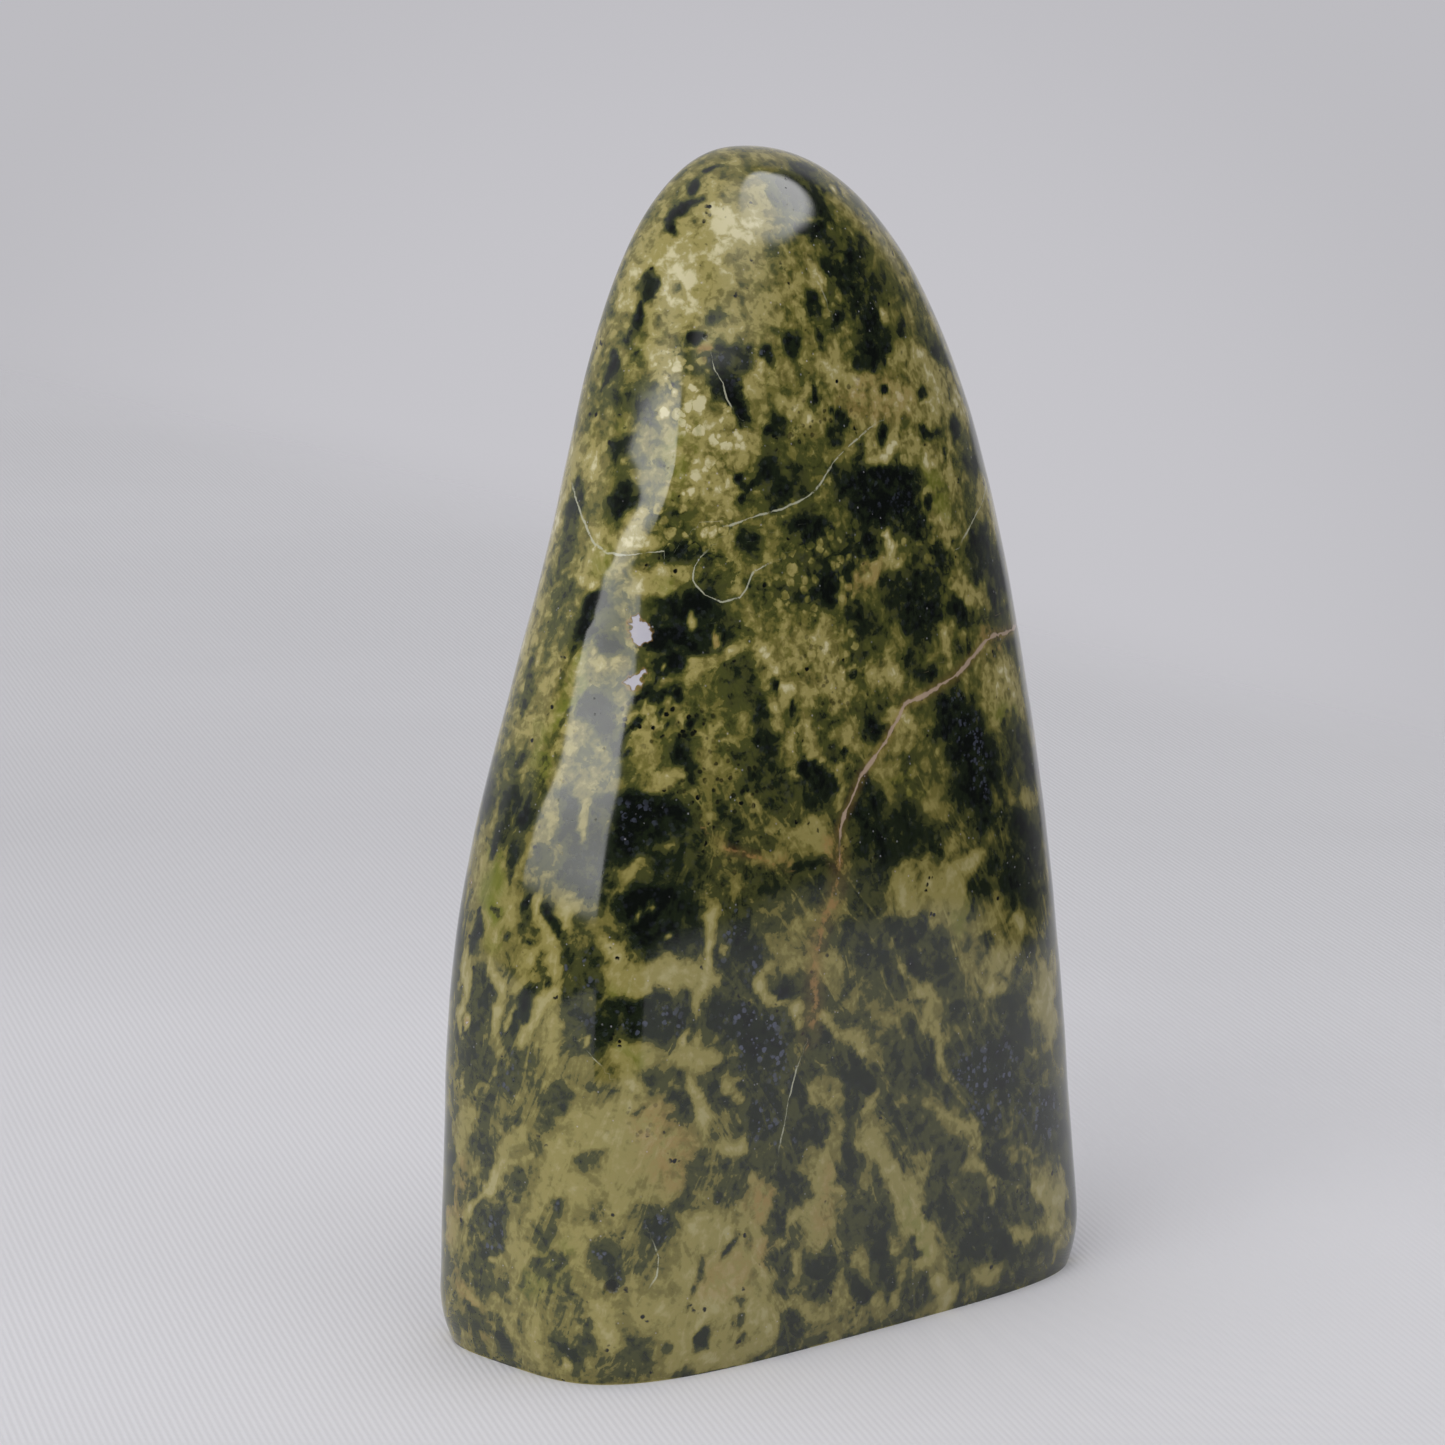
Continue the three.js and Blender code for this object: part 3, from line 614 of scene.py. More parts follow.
def wander(points, wavelength, reach, random):
    """Smooth random shift of points, made of some plane waves for each axis."""
    shift = np.zeros_like(points)
    for axis in range(3):
        for _ in range(WAVES_PER_AXIS):
            direction = random.normal(size=3)
            direction *= 2 * math.pi / (wavelength * np.linalg.norm(direction)) * random.uniform(0.7, 1.4)
            shift[:, axis] += np.sin(points @ direction + random.uniform(0, 2 * math.pi))
    return shift * reach / math.sqrt(WAVES_PER_AXIS / 2)


def nearest_on_path(points, path, normals):
    """Distance to a path, the sign of its side, and how far along the path the nearest place is."""
    nearest = np.full(len(points), np.inf)
    signs = np.ones(len(points))
    along = np.full(len(points), 0.5)
    legs = list(zip(path[:-1], path[1:])) or [(path[0], path[0])]
    lengths = [np.linalg.norm(end - start) for start, end in legs]
    passed = 0.0
    for (start, end), length in zip(legs, lengths):
        leg = end - start
        share = np.clip((points - start) @ leg / max(leg @ leg, 1e-9), 0, 1)
        offset = points - start - share[:, None] * leg
        distance = np.linalg.norm(offset, axis=1)
        closer = distance < nearest
        nearest = np.where(closer, distance, nearest)
        side = np.sign(np.einsum("ij,ij->i", np.cross(leg, offset), normals))
        signs = np.where(closer, side, signs)
        if length > 0:
            along = np.where(closer, (passed + share * length) / sum(lengths), along)
        passed += length
    return nearest, signs, along


def near_path(points, path, reach):
    """Picks the points in a box round a path."""
    low = np.min(path, axis=0) - reach
    high = np.max(path, axis=0) + reach
    return np.flatnonzero(np.all((points > low) & (points < high), axis=1))


def brush(field, points, path, tone, radius, softness):
    """Draws one soft stroke of a tone into a field of values, thickest in its middle."""
    chosen = near_path(points, path, radius + softness)
    distance, _, along = nearest_on_path(points[chosen], path, points[chosen])
    reach = radius * (TIP_WIDTH + (1 - TIP_WIDTH) * np.sin(math.pi * along))
    weight = 1 - smooth(reach - softness, reach + softness, distance)
    field[chosen] += (tone - field[chosen]) * weight


def edge_softness(radius):
    return 0.3 + radius * 0.36


def paint_ground(points):
    """Paleness of the rock before any marking."""
    x, z = points[:, 0], points[:, 2]
    paler = PALER_LOW_LEFT * smooth(*PALER_LEFTWARDS, x) * smooth(*PALER_DOWNWARDS, z)
    return np.interp(z, GROUND_HEIGHTS, GROUND_TONES) + paler


def paint_markings(points, chart):
    """Paleness of the rock, from -1 for black green to 1 for cream."""
    field = paint_ground(points)
    for tone, radius, *places in ZONES:
        brush(field, points, chart.path(places), tone, radius * STROKE_REACH, radius * ZONE_SOFTNESS)
    for tone, radius, *places in PALE_PARTS + DARK_PARTS + FLECKS_AND_GLINTS:
        tone *= 1 + THIN_STROKE_BOOST * smooth(1.0, 0.4, radius)
        brush(field, points, chart.path(places), tone, radius * STROKE_REACH, edge_softness(radius))
    return soften_contrast(field, points)


def soften_contrast(field, points):
    """Weakens the dark parts near the foot and the pale parts round the middle."""
    x, z = points[:, 0], points[:, 2]
    at_left = smooth(*SOFTER_LEFTWARDS, x)
    share = SOFT_DARKS_SHARE + SOFT_DARKS_AT_LEFT * at_left
    field += np.maximum(paint_ground(points) - field, 0) * share * smooth(*SOFT_DARKS_DOWNWARDS, z)
    share = SOFT_PALES_SHARE + SOFT_PALES_AT_LEFT * at_left
    weakened = share * smooth(*SOFT_PALES_START, z) * smooth(*SOFT_PALES_END, z)
    return field - np.maximum(field - KHAKI, 0) * weakened


def paint_hidden_side(seen, points, normals, share, random):
    """Gives the faces that have no marking of their own patches and streaks like the others'."""
    field = seen.copy()
    hidden = np.flatnonzero(share > 0.5)
    for _ in range(RANDOM_PATCHES):
        start = points[random.choice(hidden)]
        tone = random.choice([DARK, DUSK, MOSS, STRAW, PALE])
        brush(field, points, [start], tone, random.uniform(3, 7), 3)
    for _ in range(RANDOM_STREAKS):
        chosen = random.choice(hidden)
        start = points[chosen]
        steep = random.normal(size=3) * (0.6, 0.6, 1.1)
        steep -= normals[chosen] * (steep @ normals[chosen])
        steep *= random.uniform(0.6, 7) / np.linalg.norm(steep)
        tone = random.choice([INK, DARK, DARK, DUSK, STRAW, PALE, PALE, CREAM])
        radius = random.uniform(0.5, 1.9)
        brush(field, points, [start - steep / 2, start + steep / 2], tone, radius, edge_softness(radius))
    return seen + (field - seen) * share


def paint_layer(points, chart, strokes):
    """Strength from 0 to 1 of one kind of mineral."""
    field = np.zeros(len(points))
    for strength, radius, *places in strokes:
        brush(field, points, chart.path(places), strength, radius, radius * TINT_SOFTNESS)
    return field


def trace_veins(points, normals, chart, veins):
    """Signed distance to the veins, as a share of their half width, and where they are present."""
    offset = np.full(len(points), FAR_OFFSET)
    presence = np.zeros(len(points))
    for half_width, *places in veins:
        path = chart.path(places)
        chosen = near_path(points, path, VEIN_REACH)
        distance, side, _ = nearest_on_path(points[chosen], path, normals[chosen])
        closer = distance < VEIN_REACH
        chosen = chosen[closer]
        offset[chosen] = (distance * side)[closer] / half_width
        presence[chosen] = 1 - smooth(*VEIN_FADE, distance[closer])
        for tip in (path[0], path[-1]):
            presence[chosen] *= smooth(0, VEIN_TIP, np.linalg.norm(points[chosen] - tip, axis=1))
    return offset, presence


def height_of_edges(points, normals, chart):
    """How far the blunt edges stand out of the stone."""
    raised = np.zeros(len(points))
    for rise, left_flank, right_flank, *places in BLUNT_EDGES:
        path = chart.path(places)
        chosen = near_path(points, path, max(left_flank, right_flank))
        distance, side, along = nearest_on_path(points[chosen], path, normals[chosen])
        flank = np.where(side < 0, left_flank, right_flank)
        rounded = np.hypot(distance, EDGE_ROUNDING) - EDGE_ROUNDING
        fade = smooth(*EDGE_STARTS, along) * smooth(*EDGE_ENDS, along)
        raised[chosen] += rise * fade * np.clip(1 - rounded / flank, 0, 1) ** 2
    return raised


def depth_of_chips(points, chart, spots):
    """Distance inside the rims of chips or pits, negative outside them."""
    field = np.full(len(points), OUTSIDE_CHIPS)
    for radius, along, height in spots:
        field = np.maximum(field, radius - np.linalg.norm(points - chart.place(along, height), axis=1))
    return field


# ---------------------------------------------------------------------------------------------
# Shader nodes.

class Value:
    """Output of a shader node, which can be added, multiplied and so on like a plain number."""

    def __init__(self, tree, socket):
        self.tree = tree
        self.socket = socket

    def __add__(self, other):
        return calc("ADD", self, other)

    def __sub__(self, other):
        return calc("SUBTRACT", self, other)

    def __rsub__(self, other):
        return calc("SUBTRACT", other, self)

    def __mul__(self, other):
        return calc("MULTIPLY", self, other)

    def __truediv__(self, other):
        return calc("DIVIDE", self, other)

    def __rtruediv__(self, other):
        return calc("DIVIDE", other, self)

    def __abs__(self):
        return calc("ABSOLUTE", self)


def feed(socket, value):
    """Links a shader value to a socket, or sets the socket's own value."""
    if isinstance(value, Value):
        value.tree.links.new(value.socket, socket)
    elif socket.type == "RGBA":
        socket.default_value = (*value, 1)
    else:
        socket.default_value = value


def add_node(tree, kind, inputs=None, **settings):
    """Adds a node, sets its properties, and sets or links its inputs."""
    node = tree.nodes.new(kind)
    for name, value in settings.items():
        setattr(node, name, value)
    for name, value in (inputs or {}).items():
        feed(node.inputs[name], value)
    return node


def put(tree, kind, inputs=None, output=0, **settings):
    """One output of a new node."""
    return Value(tree, add_node(tree, kind, inputs, **settings).outputs[output])


def tree_of(*values):
    """Node tree of the first shader value among some values."""
    return next(value.tree for value in values if isinstance(value, Value))


def calc(operation, *values, clamp=False):
    """Output of a Math node."""
    inputs = dict(enumerate(values))
    return put(tree_of(*values), "ShaderNodeMath", inputs, operation=operation, use_clamp=clamp)


def ramp(value, low, high, to_low=0.0, to_high=1.0, kind="LINEAR"):
    """Takes a value from one range to another in a straight line."""
    return put(value.tree, "ShaderNodeMapRange", {
        "Value": value, "From Min": low, "From Max": high, "To Min": to_low, "To Max": to_high,
    }, interpolation_type=kind)


def ease(value, low, high, to_low=0.0, to_high=1.0):
    """Takes a value from one range to another in a soft step."""
    return ramp(value, low, high, to_low, to_high, "SMOOTHSTEP")


def blend(share, first, second):
    """Mixes two colours."""
    inputs = {"Factor": share, 6: first, 7: second}
    return put(tree_of(share, first), "ShaderNodeMix", inputs, 2, data_type="RGBA", clamp_factor=True)


def vector_calc(operation, place, inputs=None, output=0):
    """Output of a Vector Math node on a place."""
    inputs = {0: place, **(inputs or {})}
    return put(place.tree, "ShaderNodeVectorMath", inputs, output, operation=operation)


def dot(place, along):
    """How far a place lies along a direction."""
    return vector_calc("DOT_PRODUCT", place, {1: along}, "Value")


def turned(place, turn):
    """Place turned about the vertical."""
    inputs = {"Vector": place, "Angle": turn}
    return put(place.tree, "ShaderNodeVectorRotate", inputs, rotation_type="Z_AXIS")


def drawn_out(place, lean, share):
    """Place squeezed along one direction, so that a noise on it runs in streaks that way."""
    lean = Vector(lean).normalized()
    inputs = {0: lean * (share - 1), "Scale": dot(place, lean)}
    squeeze = put(place.tree, "ShaderNodeVectorMath", inputs, operation="SCALE")
    return vector_calc("ADD", place, {1: squeeze})


def noise(place, scale, detail=2.0, roughness=0.5, distortion=0.0, output="Fac"):
    """Cloudy noise from 0 to 1."""
    return put(place.tree, "ShaderNodeTexNoise", {
        "Vector": place,
        "Scale": scale,
        "Detail": detail,
        "Roughness": roughness,
        "Distortion": distortion,
    }, output)


def swayed(place, scale, reach):
    """Place shifted by a smooth noise, so that what is drawn on it loses its regular outline."""
    shift = vector_calc("SUBTRACT", noise(place, scale, 3.0, output="Color"), {1: (0.5, 0.5, 0.5)})
    return vector_calc("MULTIPLY_ADD", shift, {1: (reach, reach, reach), 2: place})


def cells(place, scale, output="Distance"):
    """Cell noise: the distance to the nearest cell's middle, or a colour for each cell."""
    return put(place.tree, "ShaderNodeTexVoronoi", {"Vector": place, "Scale": scale}, output)


def waves(place, scale, distortion, detail, detail_scale):
    """Slightly uneven parallel lines."""
    return put(place.tree, "ShaderNodeTexWave", {
        "Vector": place,
        "Scale": scale,
        "Distortion": distortion,
        "Detail": detail,
        "Detail Scale": detail_scale,
    }, "Fac", bands_direction="X")


def relief(height, strength, depth):
    """Normals of a surface with a small relief."""
    inputs = {"Height": height, "Strength": strength, "Distance": depth}
    return put(height.tree, "ShaderNodeBump", inputs)


FLOAT = "NodeSocketFloat"
COLOR = "NodeSocketColor"
VECTOR = "NodeSocketVector"


def new_group(name, inputs, outputs):
    """Empty shader node group, the values given to it and the sockets of its result."""
    group = bpy.data.node_groups.new(name, "ShaderNodeTree")
    for direction_of, sockets in (("INPUT", inputs), ("OUTPUT", outputs)):
        for socket_name, kind in sockets.items():
            group.interface.new_socket(socket_name, in_out=direction_of, socket_type=kind)
    given = group.nodes.new("NodeGroupInput").outputs
    result = group.nodes.new("NodeGroupOutput").inputs
    return group, {socket_name: Value(group, given[socket_name]) for socket_name in inputs}, result


def place_group(tree, group, inputs):
    """Outputs of a node group placed in a material."""
    node = add_node(tree, "ShaderNodeGroup", inputs, node_tree=group)
    return {socket.name: Value(tree, socket) for socket in node.outputs}


# What the marbling needs at each point of the mesh, and its colours.
MARBLING_VALUES = (
    "Paleness", "Lumpiness", "Streakiness", "Sharpness", "Green Glow", "Rust", "Blue Speckle", "Black Specks",
)
MARBLING_COLORS = (
    "Ink Color", "Deep Green", "Olive", "Khaki", "Straw", "Cream", "Glow Color", "Rust Color", "Blue Grey",
)

# Least and greatest sharpness of the marbling, from the right of the stone to its left.
BLURRED = 1.0
CRISP = 3.8

# How much the polished rock bends light.
STONE_IOR = 1.56

# A painted shade darkens the cloth away from the stone, from one distance in millimetres and tint to another,
# and the cloth fades out far behind the stone and beyond a slanted line at the right.
CLOTH_PAINTED_SHADE = (20.0, 250.0, 1.0, 0.79)
CLOTH_ENDS_BEHIND = (1500, 300)
CLOTH_ENDS_ASIDE = (330, 240)
CLOTH_END_SLANT = 0.62


def key_of(name):
    """Name of the mesh value or setting that belongs to a socket."""
    return name.lower().replace(" ", "_")


def streaks_in(place, patches):
    """Noise that runs in steep streaks, and in slanted ones towards the right."""
    sideways = put(place.tree, "ShaderNodeSeparateXYZ", {0: place}, "X")
    slanted = ease((patches - 0.5) * 60.0 + sideways, -30.0, -14.0)
    steep_streaks, slant_streaks = [
        noise(drawn_out(place, lean, share), scale, detail=4, roughness=0.6, distortion=0.6)
        for lean, share, scale in (((0.28, -0.3, 0.92), 0.28, 0.24), ((-0.5, 0, 0.87), 0.3, 0.22))
    ]
    return slant_streaks * slanted + steep_streaks * (1.0 - slanted)


def make_marbling_group():
    """Breaks the soft markings up into feathery and lumpy edges and colours them."""
    inputs = {"Place": VECTOR}
    inputs.update(dict.fromkeys(MARBLING_VALUES, FLOAT))
    inputs.update(dict.fromkeys(MARBLING_COLORS, COLOR))
    group, given, result = new_group("serpentine_marbling", inputs, {"Color": COLOR, "Darkness": FLOAT})
    place = given["Place"]
    sharpness = given["Sharpness"]
    streakiness = given["Streakiness"]
    upper = ease(streakiness, 1.0, 0.3)
    grain = ease(sharpness, BLURRED, CRISP, 0.52, 0.64)
    cloud = noise(place, 0.38, detail=8, roughness=grain, distortion=0.5)
    patches = noise(place, 0.13, detail=3)
    medium = noise(place, 0.9, detail=4, roughness=0.52, distortion=0.4)
    fine = noise(place, 2.6, detail=4, roughness=0.7)

    # One value for the paleness of the rock with all its structure.
    value = given["Paleness"] * 1.05 + (cloud - 0.5) * 2.3 + (patches - 0.5) * 0.6
    streaks = streaks_in(place, patches) - 0.5
    ridges = ease(abs(streaks), 0.06, 0.0)
    value = value + (streaks * 0.7 + ridges * 0.3 - 0.08) * streakiness
    lumpy_place = swayed(place, 1.2, 0.75)
    lump_sizes = cells(lumpy_place, 0.82, "Color") * 0.5 + 0.12
    value = value + (ease(lump_sizes - cells(lumpy_place, 0.82), -0.1, 0.12) - 0.5) * given["Lumpiness"]
    value = value + (fine - 0.5) * ease(sharpness, BLURRED, CRISP, 0.12, 0.34)

    # Dark and pale rock, each in several tones, with an edge between them.
    edge = 0.22 / sharpness
    pale = ease(value + 0.12, edge * -1.0, edge)
    tone = (medium - 0.5) * (upper * 0.9 + 1.5) + value * 0.9 + 0.08
    dark_color = blend(ease(tone, -1.15, -0.7), given["Ink Color"], given["Deep Green"])
    dark_color = blend(ease(tone, -0.6, -0.1), dark_color, given["Olive"])
    pale_color = blend(ease(tone, -0.25, 0.15), given["Olive"], given["Khaki"])
    pale_color = blend(ease(tone, 0.15, 0.6) * (upper * 0.34 + 0.66), pale_color, given["Straw"])
    pale_color = blend(ease(tone, 0.7, 1.3) * (upper * 0.7 + 0.3), pale_color, given["Cream"])
    color = blend(pale, dark_color, pale_color)
    darkness = ease(value, -0.2, -0.6)

    # Clear green rims and spots, and iron stains.
    glow = given["Green Glow"] * ease(value, -0.3, 0.1) * ease(cloud, 0.62, 0.4)
    rims = ease(value, -0.5, -0.2) * ease(value, 0.3, 0.0) * (upper * 0.14)
    color = blend(calc("MAXIMUM", glow, rims), color, given["Glow Color"])
    stained = ease(noise(place, 0.9, detail=6, roughness=0.7), 0.36, 0.6)
    color = blend(given["Rust"] * stained * ease(value, -0.3, 0.2), color, given["Rust Color"])

    # Metallic grains in the dark rock, and black grains.
    grains = swayed(place, 3.0, 0.3)
    grain_sizes = cells(grains, 1.7, "Color") * 0.8 - 0.08
    blue = ease(grain_sizes - cells(grains, 1.7), -0.08, 0.1) * darkness
    blue = blue * ease(noise(place, 0.7, detail=3), 0.4, 0.56)
    color = blend(blue * (given["Blue Speckle"] * 0.85 + 0.08), color, given["Blue Grey"])
    clusters = noise(place, 0.5)
    black = ease(cells(swayed(place, 2.0, 0.35), 1.1), 0.34, 0.22)
    share = given["Black Specks"] * ease(clusters, 0.36, 0.46) + ease(clusters, 0.62, 0.7)
    black = calc("MULTIPLY", black, share, clamp=True)
    feed(result["Color"], blend(black, color, given["Ink Color"]))
    feed(result["Darkness"], calc("MAXIMUM", darkness, black))
    return group


def make_vein_group():
    """A thin wandering mineral line from the signed distance to a vein."""
    group, given, result = new_group(
        "mineral_vein",
        {"Place": VECTOR, "Offset": FLOAT, "Presence": FLOAT, "Wander": FLOAT, "Breaks": FLOAT},
        {"Mask": FLOAT, "Halo": FLOAT},
    )
    place = given["Place"]
    sway = noise(place, 0.9, detail=5, roughness=0.65) - 0.5
    offset = abs(sway * given["Wander"] + given["Offset"])
    swell = ease(noise(place, 0.55, detail=3), 0.35, 0.62, 0.35, 1.25)
    gaps = ease(noise(place, 0.8, detail=4, roughness=0.7), given["Breaks"], given["Breaks"] + 0.12)
    feed(result["Mask"], ease(offset / swell, 1.35, 0.6) * gaps * given["Presence"])
    feed(result["Halo"], ease(offset, 5.0, 0.0) * given["Presence"])
    return group


def make_polish_group():
    """Fine wear of a ground surface: pinholes and a faint unevenness."""
    group, given, result = new_group(
        "polish_wear", {"Place": VECTOR, "Pinholes": FLOAT}, {"Height": FLOAT, "Mask": FLOAT})
    place = given["Place"]
    keep = ease(noise(place, 0.32), 0.46, 0.6)
    holes = ease(cells(place, 0.95), 0.12, 0.05) * keep * given["Pinholes"]
    feed(result["Height"], noise(place, 5.0, detail=3) * 0.02 + holes * -1.0)
    feed(result["Mask"], holes)
    return group


def attribute(tree, name):
    """A named value that the mesh carries."""
    return put(tree, "ShaderNodeAttribute", output="Fac", attribute_name=name)


def place_in_mm(tree):
    """Position on the stone in millimetres, which stays with the stone."""
    return vector_calc("SCALE", put(tree, "ShaderNodeTexCoord", output="Object"), {"Scale": 1 / MM})


def marbled_color(tree, place, settings, groups):
    """Colour of the rock with its veins, and the mask of its dark minerals."""
    inputs = {"Place": place}
    inputs.update({name: attribute(tree, key_of(name)) for name in MARBLING_VALUES})
    inputs.update({name: getattr(settings, key_of(name)) for name in MARBLING_COLORS})
    marbling = place_group(tree, groups["marbling"], inputs)
    color = marbling["Color"]
    for name, paint, halo, wander_reach, breaks in (
        ("rusty_seam", settings.rust_color, 0.16, 2.6, 0.47),
        ("tan_vein", settings.tan_vein, 0.25, 2.0, 0.2),
        ("hairline", settings.hairline, 0.0, 5.0, 0.36),
    ):
        vein = place_group(tree, groups["vein"], {
            "Place": place,
            "Offset": attribute(tree, name + "_offset"),
            "Presence": attribute(tree, name + "_presence"),
            "Wander": wander_reach,
            "Breaks": breaks,
        })
        if halo > 0:
            color = blend(vein["Halo"] * halo, color, settings.rust_color)
        color = blend(vein["Mask"] * 0.82, color, paint)
    return color, marbling["Darkness"]


def new_material(name):
    """Material with only its output and a Principled shader."""
    material = bpy.data.materials.new(name)
    material.use_nodes = True
    return material, material.node_tree, material.node_tree.nodes["Principled BSDF"].inputs


def make_polished_material(settings, groups):
    """Marbled serpentine with a hand polish."""
    material, tree, shader = new_material("polished serpentine")
    place = place_in_mm(tree)
    color, darkness = marbled_color(tree, place, settings, groups)
    wear = place_group(tree, groups["polish"], {"Place": place, "Pinholes": 0.6})

    notches = noise(place, 1.0, detail=3) + cells(place, 1.9)
    chip_edge = (notches - 0.95) * 0.6 + attribute(tree, "chip_depth")
    chip = ease(chip_edge, 0.0, 0.14)
    rim = ease(chip_edge, -0.25, 0.05) * (1.0 - chip)
    pit = ease((noise(place, 1.2, detail=4) - 0.5) * 1.2 + attribute(tree, "pit_depth"), 0.0, 0.5)
    color = blend(rim * 0.6, color, settings.rust_color)
    # Chips painted pale lilac: bruised rock and a painted glint.
    color = blend(chip * 0.85, color, settings.chip_and_glint_color)
    # Pits are darkened towards ink as painted shade in their hollows.
    color = blend(pit * 0.8, color, settings.ink_color)
    # Pinholes of the polish are painted pale lilac as painted glints.
    feed(shader["Base Color"], blend(wear["Mask"] * 0.5, color, settings.chip_and_glint_color))

    polish = settings.polish_roughness
    smear = ease(noise(place, 0.25, detail=3), 0.35, 0.7, polish * 0.8, polish * 1.3)
    broken = calc("MAXIMUM", chip, calc("MAXIMUM", pit, wear["Mask"]))
    roughness = broken * 0.35 + smear + darkness * -0.012 + attribute(tree, "dullness") * 0.12
    feed(shader["Roughness"], roughness)

    height = chip * -1.5 + wear["Height"] + pit * -4.0
    feed(shader["Normal"], relief(height, 0.6, 0.1 * MM))
    feed(shader["IOR"], STONE_IOR)
    return material


def make_sawn_material(settings, groups):
    """The same rock where it was sawn and left matt."""
    material, tree, shader = new_material("sawn foot")
    place = place_in_mm(tree)
    color, _ = marbled_color(tree, place, settings, groups)
    wear = place_group(tree, groups["polish"], {"Place": place, "Pinholes": 1.0})
    dust = blend(0.3, color, settings.saw_dust)
    # Pinholes in the sawn foot are darkened towards ink as painted shade in their hollows.
    feed(shader["Base Color"], blend(wear["Mask"] * 0.5, dust, settings.ink_color))
    saw_lines = waves(turned(place, math.radians(17)), 0.9, 1.2, 3.0, 2.0)
    height = saw_lines * 0.5 + wear["Height"]
    feed(shader["Normal"], relief(height, 0.5, 0.15 * MM))
    feed(shader["Roughness"], ease(saw_lines, 0.0, 1.0, 0.55, 0.7))
    return material


def make_cloth_material(settings):
    """Plain pale cloth with a faint twill and a painted shade that darkens it away from the stone, which
    fades out far behind the stone.
    """
    material, tree, shader = new_material("pale cloth")
    place = place_in_mm(tree)
    tint = ease(noise(place, 0.01, detail=3), 0.3, 0.7, 0.97, 1.0)
    from_stone = vector_calc("LENGTH", place, output="Value")
    # Painted shade: the cloth darkens with distance from the stone.
    painted_shade = ramp(from_stone, *CLOTH_PAINTED_SHADE)
    feed(shader["Base Color"], blend(tint * painted_shade, (0, 0, 0), settings.floor_color))
    twill = waves(turned(place, math.radians(28)), 0.42, 0.6, 2.0, 1.5)
    feed(shader["Normal"], relief(twill, 0.25, 0.12 * MM))
    feed(shader["Roughness"], 0.95)
    feed(shader["Specular IOR Level"], 0.1)
    away = dot(place, -direction(settings.camera_azimuth, 0))
    aside = dot(place, direction(settings.camera_azimuth + math.radians(90), 0))
    slanted = away * CLOTH_END_SLANT + aside
    feed(shader["Alpha"], ease(away, *CLOTH_ENDS_BEHIND) * ease(slanted, *CLOTH_ENDS_ASIDE))
    return material


# ---------------------------------------------------------------------------------------------
# Values that a user may change.

def color_value(name, description, red, green, blue):
    """Colour setting. Its default is given in display values from 0 to 255."""
    return bpy.props.FloatVectorProperty(
        name=name, description=description, subtype="COLOR", size=3, min=0, max=1,
        default=linear(red, green, blue))


def number_value(name, description, default, low, high, **kind):
    return bpy.props.FloatProperty(
        name=name, description=description, min=low, max=high, default=default, **kind)


def length_value(name, description, default, low=0.5, high=10, **kind):
    return number_value(name, description, default, low, high, subtype="DISTANCE", unit="LENGTH", **kind)


def angle_value(name, description, degrees):
    return bpy.props.FloatProperty(
        name=name, description=description, default=math.radians(degrees), subtype="ANGLE", unit="ROTATION")


class StoneSettings(bpy.types.PropertyGroup):
    ink_color: color_value("Ink", "Darkest mineral", 12, 16, 12)
    deep_green: color_value("Deep green", "Dark translucent serpentine", 27, 34, 20)
    olive: color_value("Olive", "Rock between dark and pale", 65, 67, 34)
    khaki: color_value("Khaki", "Rock at the edge of the pale parts", 110, 103, 52)
    straw: color_value("Straw", "Pale yellow-green rock", 152, 142, 84)
    cream: color_value("Cream", "Palest rock", 196, 188, 146)
    glow_color: color_value("Green glow", "Clear green serpentine", 104, 110, 36)
    rust_color: color_value("Rust", "Iron stain", 146, 114, 66)
    blue_grey: color_value("Blue grey", "Metallic grains in the dark parts", 82, 86, 102)
    tan_vein: color_value("Tan vein", "Filling of the widest vein", 176, 154, 134)
    hairline: color_value("Hairline", "Filling of the thinnest cracks", 176, 176, 152)
    # Pale lilac of bruised rock, also used for painted glints in the chips and pinholes of the polish.
    chip_and_glint_color: color_value("Chip", "Freshly bruised rock", 190, 187, 197)
    saw_dust: color_value("Sawn rock", "Dusty look of the sawn foot", 120, 122, 104)
    polish_roughness: number_value("Polish", "Roughness of the polished faces", 0.085, 0, 1)
    waviness: length_value("Waviness", "Depth of the unevenness that hand polishing leaves",
                           0.018 * MM, 0, 0.001, precision=5)


class StageSettings(bpy.types.PropertyGroup):
    floor_color: color_value("Cloth", "Colour of the floor", 235, 234, 237)
    wall_color: color_value("Wall", "Pale wall and ground behind the stage", 198, 197, 202)
    fill_color: color_value("Fill light", "Soft light from all round the stage", 213, 213, 216)
    room_color: color_value("Room", "Dark room that the polish mirrors", 42, 42, 46)
    floor_ahead: length_value("Floor ahead", "How far the floor runs towards the camera", 2.5)
    floor_behind: length_value("Floor behind", "How far the floor runs behind the stone", 2.5)
    floor_left: length_value("Floor left", "How far the floor runs to the camera's left", 0.6, 0.2)
    floor_right: length_value("Floor right", "How far the floor runs to the camera's right", 1.6, 0.2)
    softbox_radiance: number_value(
        "Softbox", "Brightness of the softbox at the left, where white is 1", 4.5, 0, 100)
    overhead_radiance: number_value(
        "Overhead panel", "Brightness of the panel above and to the right, where white is 1", 5.1, 0, 100)
    camera_azimuth: angle_value(
        "Camera azimuth", "Camera's direction round the stone, from the front", -42.124)
    camera_elevation: angle_value("Camera elevation", "Camera's angle above level", 11)
    camera_distance: length_value(
        "Camera distance", "From the camera to the middle of the picture", 0.60276, 0.1)
    camera_angle: angle_value("Field of view", "Angle that the picture covers", 14)


# ---------------------------------------------------------------------------------------------
# Making the stone and the stage.

